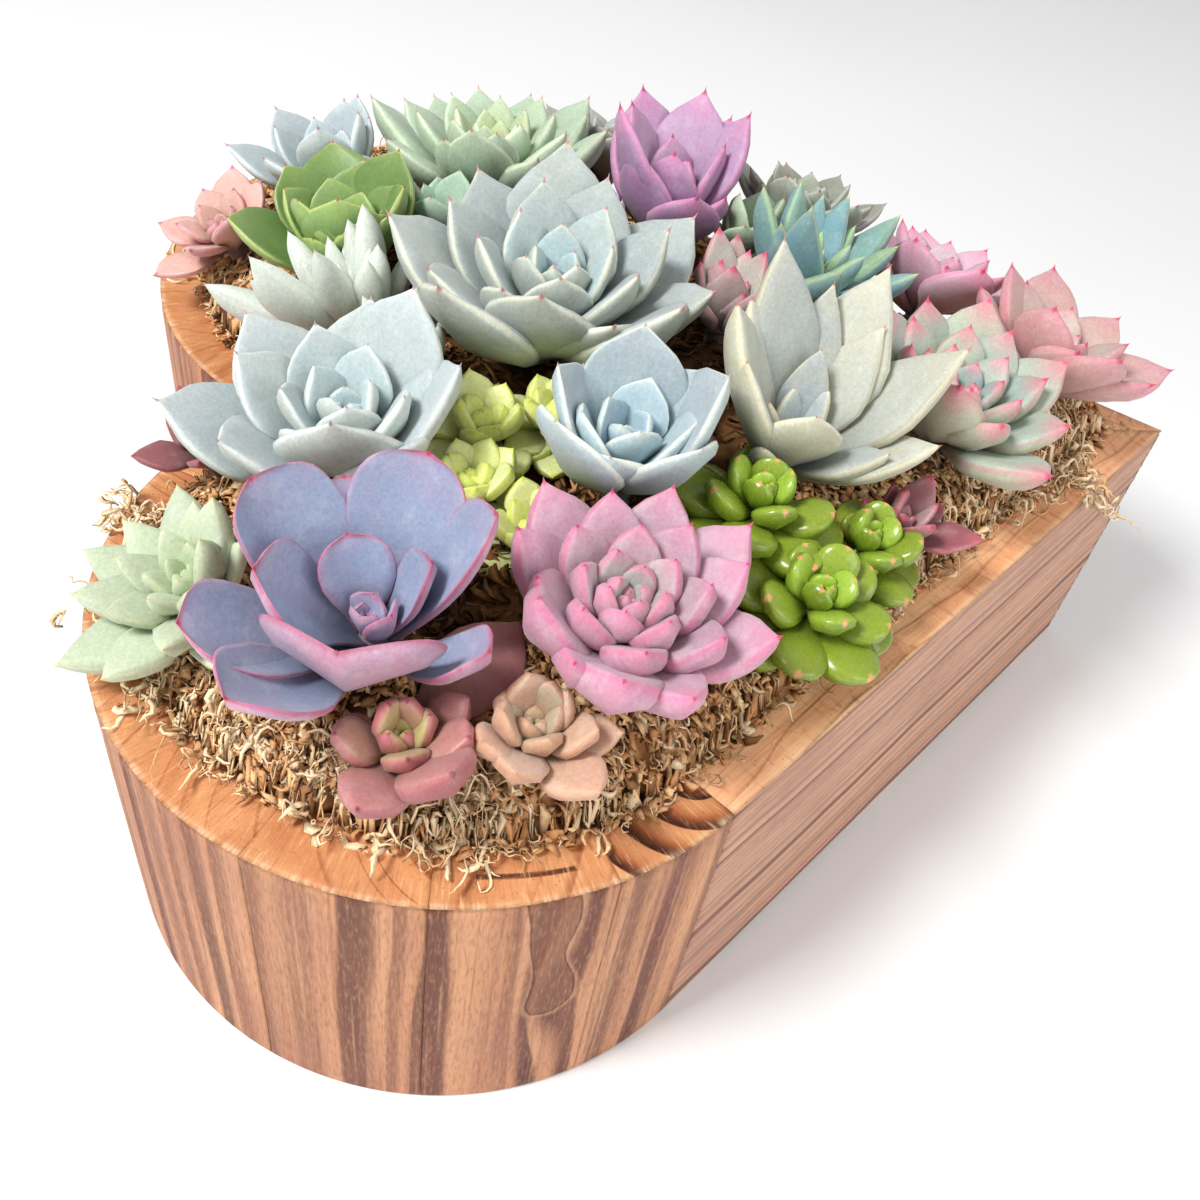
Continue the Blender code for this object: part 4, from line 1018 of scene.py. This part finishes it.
def side_board(side, word, finish):
    """A straight board: its year rings run along it as bands of uneven width."""
    seed = 11 if side < 0 else 12

    def place(station, inset):
        forward = inset / math.tan(HALF_ANGLE) + JOINT_GAP
        forward = forward + (SIDE_LENGTH - JOINT_GAP - forward) * station
        x = forward * math.sin(HALF_ANGLE) - inset * math.cos(HALF_ANGLE)
        return x * side, TIP_Y + forward * math.cos(HALF_ANGLE) + inset * math.sin(HALF_ANGLE)

    def outward(_):
        return (side * math.cos(HALF_ANGLE), -math.sin(HALF_ANGLE), 0)

    def rings(points, insets, heights):
        forward = np.hypot(points[..., 0], points[..., 1] - TIP_Y)
        lift = (heights + 0.0016 * waves(forward * 12, seed) + 0.0004 * waves(forward * 60, seed + 3)) / BOARD_HEIGHT
        ring = 11 * lift + 6 * np.abs(lift) ** 3 + 0.5 * waves(lift * 14, seed + 5) - insets / 0.006
        grain = np.stack([forward, heights * np.ones_like(forward), insets * np.ones_like(forward)], -1)
        return ring, grain, np.zeros_like(ring)

    stations = np.linspace(0, 1, 64)
    wood_piece(f"board_{word}", f"side_board_{word}", GRAIN_STEP, stations, place, outward, rings, finish,
               flat=1.0)


def lobe_block(side, word, number, first, last, finish):
    """A glued block of a lobe: its year rings stand upright and show as arcs on the rim."""
    random = np.random.default_rng(40 + number + (0 if side < 0 else 20))
    gap = JOINT_GAP / 2 / LOBE_RADIUS
    middle = (first + last) / 2
    heading = middle + random.choice((-1, 1)) * random.uniform(0.75, 1.3)
    pith = np.array([LOBE_X + LOBE_RADIUS * math.cos(middle), LOBE_Y + LOBE_RADIUS * math.sin(middle)])
    pith = pith - random.uniform(0.035, 0.07) * np.array([math.cos(heading), math.sin(heading)])
    spacing = random.uniform(5.0, 9.0)
    burnt = BURNT_BLOCKS.get(number, 0.0) if side < 0 else 0.0
    wander = 0.6
    if burnt:
        pith, spacing, wander = np.array(BURNT_PITH), BURNT_SPACING, 0.06

    def place(station, inset):
        angle = first + gap + (last - first - 2 * gap) * station
        outer = np.array([LOBE_X + LOBE_RADIUS * math.cos(angle), LOBE_Y + LOBE_RADIUS * math.sin(angle)])
        radius = LOBE_RADIUS - WALL
        inner_angle = min(angle, INNER_ARC_END)
        inner = np.array([LOBE_X + radius * math.cos(inner_angle), LOBE_Y + radius * math.sin(inner_angle)])
        if angle > INNER_ARC_END:
            share = (angle - INNER_ARC_END) / (NOTCH_ANGLE - INNER_ARC_END)
            inner = inner + (np.array([JOINT_GAP / 2, NOTCH_Y - WALL]) - inner) * share
        x, y = outer + (inner - outer) * inset / WALL
        return x * side, y

    def outward(station):
        angle = first + (last - first) * station
        return (side * math.cos(angle), math.sin(angle), 0)

    def rings(points, insets, heights):
        x = points[..., 0] * side + 0.0005 * waves(heights * 26, 7 * number) - pith[0]
        y = points[..., 1] + 0.0005 * waves(heights * 22, 9 * number) - pith[1]
        far = np.hypot(x, y) / MM
        ring = far / spacing + wander * waves(far * 0.11, number + 4)
        arc = np.arctan2(points[..., 1] - LOBE_Y, points[..., 0] * side - LOBE_X) * LOBE_RADIUS
        knot = np.zeros_like(ring)
        if side < 0 and number == KNOT_BLOCK:
            off = arc - KNOT_ANGLE * LOBE_RADIUS
            ring = ring + 0.8 * np.exp(-((off / 0.007) ** 2) - ((heights - KNOT_HEIGHT) / 0.02) ** 2)
            rise = (heights - KNOT_HEIGHT) / 0.04
            bend = off - 0.0028 * np.clip(rise, 0, 1) + 0.0006 * np.sin(rise * 9)
            waist = 0.0052 * (1 - 0.35 * np.exp(-(((rise - 0.45) / 0.25) ** 2)))
            bowl = np.hypot(bend / waist, np.where(rise > 0, 0.0, 1.0) * (heights - KNOT_HEIGHT) / 0.007)
            scar = 1 - np.abs(insets - SCAR_INSET - 0.06 * (arc - SCAR_ARC)) / 0.006
            scar = scar * (np.abs(arc - SCAR_ARC) < SCAR_REACH)
            knot = np.where(insets < 0.001, np.clip(1.5 - bowl, 0, 1), np.clip(scar, 0, 1))
        return ring, np.stack([heights * np.ones_like(x), arc, insets * np.ones_like(x)], -1), knot

    count = max(8, round((last - first) * LOBE_RADIUS / GRAIN_STEP))
    wood_piece(f"block_{word}_{number}", f"lobe_block_{word}_{number}", UPRIGHT_STEP, np.linspace(0, 1, count),
               place, outward, rings, finish, burnt)


def moss_top(x, y):
    """Height of the moss, or of the bare rim outside it."""
    depth = depth_inside(x, y)
    return BOARD_HEIGHT + (moss_rise(depth) if depth > WALL - MOSS_LIP else max(min(depth, 0) * 0.6, -0.003))


def moss_mat(finish):
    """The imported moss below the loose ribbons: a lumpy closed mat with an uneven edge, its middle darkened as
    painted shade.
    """
    step = MAT_STEP
    xs = np.arange(-0.152, 0.1521, step)
    ys = np.arange(-0.152, 0.1521, step)
    grid = {}
    random = np.random.default_rng(5)
    points, tops = [], []
    depths = {(i, j): depth_inside(x, y) for i, x in enumerate(xs) for j, y in enumerate(ys)}
    cells = [
        (i, j) for i in range(len(xs) - 1) for j in range(len(ys) - 1)
        if min(depths[i + a, j + b] for a in (0, 1) for b in (0, 1)) > WALL - MOSS_LIP
    ]
    for i, j in cells:
        for corner in ((i, j), (i + 1, j), (i + 1, j + 1), (i, j + 1)):
            if corner not in grid:
                grid[corner] = len(tops)
                x, y = xs[corner[0]], ys[corner[1]]
                depth = depths[corner]
                lump = 0.0012 * float(waves(np.array(x * 300 + y * 170), 3)) + random.uniform(-0.0009, 0.0009)
                fade = min(1, (depth - WALL + MOSS_LIP) / 0.004)
                tops.append((x, y, BOARD_HEIGHT + moss_rise(depth) * (0.35 + 0.65 * fade) - 0.001 + lump * fade))
                low = BOARD_HEIGHT + 0.0002 if depth < WALL + step else SOIL_TOP + 0.0003
                points.append((x, y, low))
    count = len(tops)
    top_faces = np.array([[grid[i, j], grid[i + 1, j], grid[i + 1, j + 1], grid[i, j + 1]] for i, j in cells])
    kept = set(cells)
    sides = []
    for i, j in cells:
        for (di, dj), a, b in (((0, -1), (0, 0), (1, 0)), ((1, 0), (1, 0), (1, 1)),
                               ((0, 1), (1, 1), (0, 1)), ((-1, 0), (0, 1), (0, 0))):
            if (i + di, j + dj) not in kept:
                first, second = grid[i + a[0], j + a[1]], grid[i + b[0], j + b[1]]
                sides.append((second, first, first + count, second + count))
    faces = [top_faces, top_faces[:, ::-1] + count, np.array(sides)]
    every = np.array(tops + points)
    # Painted shade: the mat is 0.3 as light more than 45 mm inside the outline, under the plants.
    shade = random.uniform(0.1, 0.4, len(every)) * np.clip([(depth_inside(x, y) < 0.045) + 0.3 for x, y, _ in every], 0, 1)
    piece("moss_mat", every, faces, finish, dict(shade=shade, way=np.full(len(every), 0.5)), ["moss_bed"])


def ribbons(name, roots, random, finish, lengths, widths, shades, steps=5, rise=(0.0002, 0.0024), wild=1.0, flat_share=0.45):
    """Curled torn ribbons of moss that start at the roots and wander over the surface."""
    sides = 3
    count = len(roots)
    length = random.uniform(*lengths, count)
    heading = random.uniform(0, 2 * math.pi, count)
    curve = random.normal(0, 1.0, count) * wild
    share = np.linspace(0, 1, steps)
    low, high = rise
    lift = random.uniform(low, high, count)
    arch = random.normal(0, 0.12, count) * length * wild
    tilt = random.uniform(-0.5, 0.9, count)
    places = np.zeros((count, steps, 3))
    x, y = roots[:, 0].copy(), roots[:, 1].copy()
    turn = heading.copy()
    for step in range(steps):
        places[:, step, 0], places[:, step, 1] = x, y
        turn = turn + curve * 2.6 / steps + random.normal(0, 0.42, count)
        stride = length / (steps - 1) * random.uniform(0.7, 1.1, count)
        x, y = x + np.cos(turn) * stride, y + np.sin(turn) * stride
    ground = np.array([moss_top(px, py) for px, py in places[:, :, :2].reshape(-1, 2)]).reshape(count, steps)
    wobble = random.normal(0, 0.00025, (count, steps))
    above = lift[:, None] + arch[:, None] * np.sin(share * math.pi)[None] + tilt[:, None] * length[:, None] * 0.16 * share**2
    places[:, :, 2] = np.maximum(ground + above + wobble, ground + 0.0002)
    ahead = np.gradient(places, axis=1)
    ahead /= np.linalg.norm(ahead, axis=-1, keepdims=True) + 1e-12
    flat = np.cross(ahead, [0, 0, 1.0])
    flat /= np.linalg.norm(flat, axis=-1, keepdims=True) + 1e-12
    over = np.cross(flat, ahead)
    spin = random.normal(0, flat_share, count)[:, None] + random.normal(0, 0.55, count)[:, None] * share[None]
    one = flat * np.cos(spin)[..., None] + over * np.sin(spin)[..., None]
    two = over * np.cos(spin)[..., None] - flat * np.sin(spin)[..., None]
    width = random.uniform(*widths, count)[:, None] * np.sin(math.pi * (0.1 + 0.84 * share))[None] ** 0.7
    width = width * random.uniform(0.6, 1.25, (count, steps))
    corners = []
    for index in range(sides):
        angle = 2 * math.pi * index / sides
        corners.append(places + one * (width * 0.5 * math.cos(angle))[..., None] + two * (width * 0.14 * math.sin(angle))[..., None])
    points = np.stack(corners, 2).reshape(-1, 3)
    faces = tube_faces(steps, sides)
    shift = (np.arange(count) * steps * sides)[:, None, None]
    blocks = [(block[None] + shift).reshape(-1, block.shape[1]) for block in faces]
    shade = np.repeat(np.clip(random.normal(*shades, count), 0.1, 1), steps * sides)
    way = np.tile(np.repeat(share, sides), count)
    return piece(name, points, blocks, finish, dict(shade=shade, way=way))


def moss_material():
    """Dried moss: pale straw to tan strands over a brown ground. The near-black browns of the inner strands and of
    the mat's middle are painted shade, and each strand is darkened towards its root as painted shade.
    """
    made = Nodes("dried_moss_strands")
    shade, way = made.attribute("shade"), made.attribute("way")
    patches = made.noise(60, 2)
    fine = made.noise(1400, 3)
    colour = made.mix(made.span(shade, 0.15, 0.5), (70, 46, 30), (222, 166, 114))
    colour = made.mix(made.span(shade, 0.5, 0.9), colour, (250, 216, 166))
    colour = made.mix(made.span(patches, 0.45, 0.7, 0, 0.5), colour, (208, 150, 92))
    colour = made.mix(made.span(fine, 0.4, 0.75, 0, 0.3), colour, (150, 98, 56))
    colour = made.mix(made.span(shade, 0.84, 1.0, 0, 0.85), colour, (254, 232, 194))
    # Painted shade: each strand is darker towards its root, 0.6 of its colour there.
    colour = made.shaded(colour, made.span(way, 0.0, 0.55, 0.6, 1.04))
    return made.finish(Base_Color=colour, Roughness=made.span(fine, 0.2, 0.8, 0.75, 0.95),
                       Normal=made.bump(fine, 0.0003, 0.5), Specular_IOR_Level=0.15)


def scattered(count, random, shallow, deep, least=0.0):
    """Seeded places on the moss whose depth inside the outline lies in a range."""
    found = []
    while len(found) < count:
        x, y = random.uniform(-0.15, 0.15), random.uniform(-0.15, 0.15)
        depth = depth_inside(x, y)
        if shallow < depth < deep:
            found.append((x, y))
    return np.array(found)


def moss():
    """The mat, the torn ribbons on it and the long wisps."""
    finish = moss_material()
    moss_mat(finish)
    random = np.random.default_rng(17)
    for part in range(3):
        rim = scattered(5200, random, WALL - 0.0075, 0.048)
        ribbons(f"moss_ribbons_{part + 1}", rim, random, finish, (0.0022, 0.0058), (0.0014, 0.0034), (0.6, 0.24),
                steps=4)
        # The strands among the plants are near-black brown: painted shade in the gaps between the plants.
        inside = scattered(600, random, 0.048, 0.2)
        ribbons(f"moss_painted_shade_{part + 1}", inside, random, finish, (0.005, 0.012), (0.0014, 0.003), (0.14, 0.08))
        curls = scattered(480, random, WALL - 0.01, 0.026)
        ribbons(f"moss_curls_{part + 1}", curls, random, finish, (0.003, 0.009), (0.0005, 0.0012), (0.85, 0.15),
                steps=7, rise=(0.0012, 0.0036), wild=2.6, flat_share=1.5)
    tufts = np.concatenate([
        np.array(place) * MM + random.normal(0, spread * MM, (count, 2)) for place, spread, count in TUFTS
    ])
    ribbons("moss_frizz", tufts, random, finish, (0.005, 0.012), (0.0009, 0.0021), (1.02, 0.12),
            steps=8, rise=(0.001, 0.004), wild=2.2, flat_share=1.5)
    wisps = np.array([place for place, _, _ in TUFTS]) * MM + random.normal(0, 0.003, (len(TUFTS), 2))
    ribbons("moss_wisps", wisps, random, finish, (0.013, 0.02), (0.0006, 0.0009), (0.8, 0.1),
            steps=12, rise=(0.001, 0.004), wild=0.7, flat_share=1.5)


def ground_materials():
    """Better finishes for the solids that stay as they are."""
    soil = Nodes("potting_soil_crumb")
    crumb = soil.noise(500, 4)
    colour = soil.mix(soil.span(crumb, 0.35, 0.7), (34, 24, 18), (74, 54, 38))
    colour = soil.mix(soil.dots(300, 0.18), colour, (190, 180, 165))
    soil.finish(Base_Color=colour, Roughness=soil.span(crumb, 0.2, 0.8, 0.85, 1.0),
                Normal=soil.bump(crumb, 0.001), Specular_IOR_Level=0.2)
    board = Nodes("base_plywood")
    fibre = board.noise(1.0, 4, board.scaled(board.place(), (500, 20, 500)))
    colour = board.mix(board.span(fibre, 0.3, 0.7), (168, 128, 88), (206, 168, 124))
    board.finish(Base_Color=colour, Roughness=board.span(fibre, 0.2, 0.8, 0.6, 0.8),
                 Normal=board.bump(fibre, 0.0003, 0.5), Specular_IOR_Level=0.3)
    for name, made in (("potting_soil", soil), ("base_board", board)):
        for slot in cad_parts[name].material_slots:
            slot.material = made.material


def studio():
    """A pale floor, soft light all round and the camera where the photo was taken from."""
    floor = bpy.data.meshes.new("floor")
    floor.from_pydata([(-3, -3, 0), (3, -3, 0), (3, 3, 0), (-3, 3, 0)], [], [(0, 1, 2, 3)])
    made = Nodes("pale_floor")
    made.finish(Base_Color=made.mix(made.span(made.noise(3, 2), 0.3, 0.7), (246, 246, 246), (250, 250, 250)),
                Roughness=0.9, Specular_IOR_Level=0.1)
    floor.materials.append(made.material)
    ground = bpy.data.objects.new("floor", floor)
    bpy.context.scene.collection.objects.link(ground)
    world = bpy.data.worlds.new("soft_white")
    world.use_nodes = True
    world.node_tree.nodes["Background"].inputs["Color"].default_value = (1, 1, 1, 1)
    world.node_tree.nodes["Background"].inputs["Strength"].default_value = SKY
    bpy.context.scene.world = world
    for name, place, power, size in LAMPS:
        light = bpy.data.lights.new(name, "AREA")
        light.energy = power
        light.size = size
        lamp = bpy.data.objects.new(name, light)
        lamp.location = place
        lamp.rotation_euler = (-Vector(place)).to_track_quat("-Z", "Y").to_euler()
        bpy.context.scene.collection.objects.link(lamp)
    view = bpy.data.cameras.new("photo_view")
    view.lens = LENS
    view.sensor_width = 36
    view.clip_start = 0.01
    camera = bpy.data.objects.new("photo_view", view)
    right, up, back = (Vector(axis) for axis in CAMERA_AXES)
    camera.matrix_world = Matrix((right, up, back)).transposed().to_4x4()
    camera.location = CAMERA_PLACE
    bpy.context.scene.collection.objects.link(camera)
    bpy.context.scene.camera = camera
    bpy.context.scene.view_settings.view_transform = "Standard"


studio()
planter()
rosettes()
moss()
ground_materials()
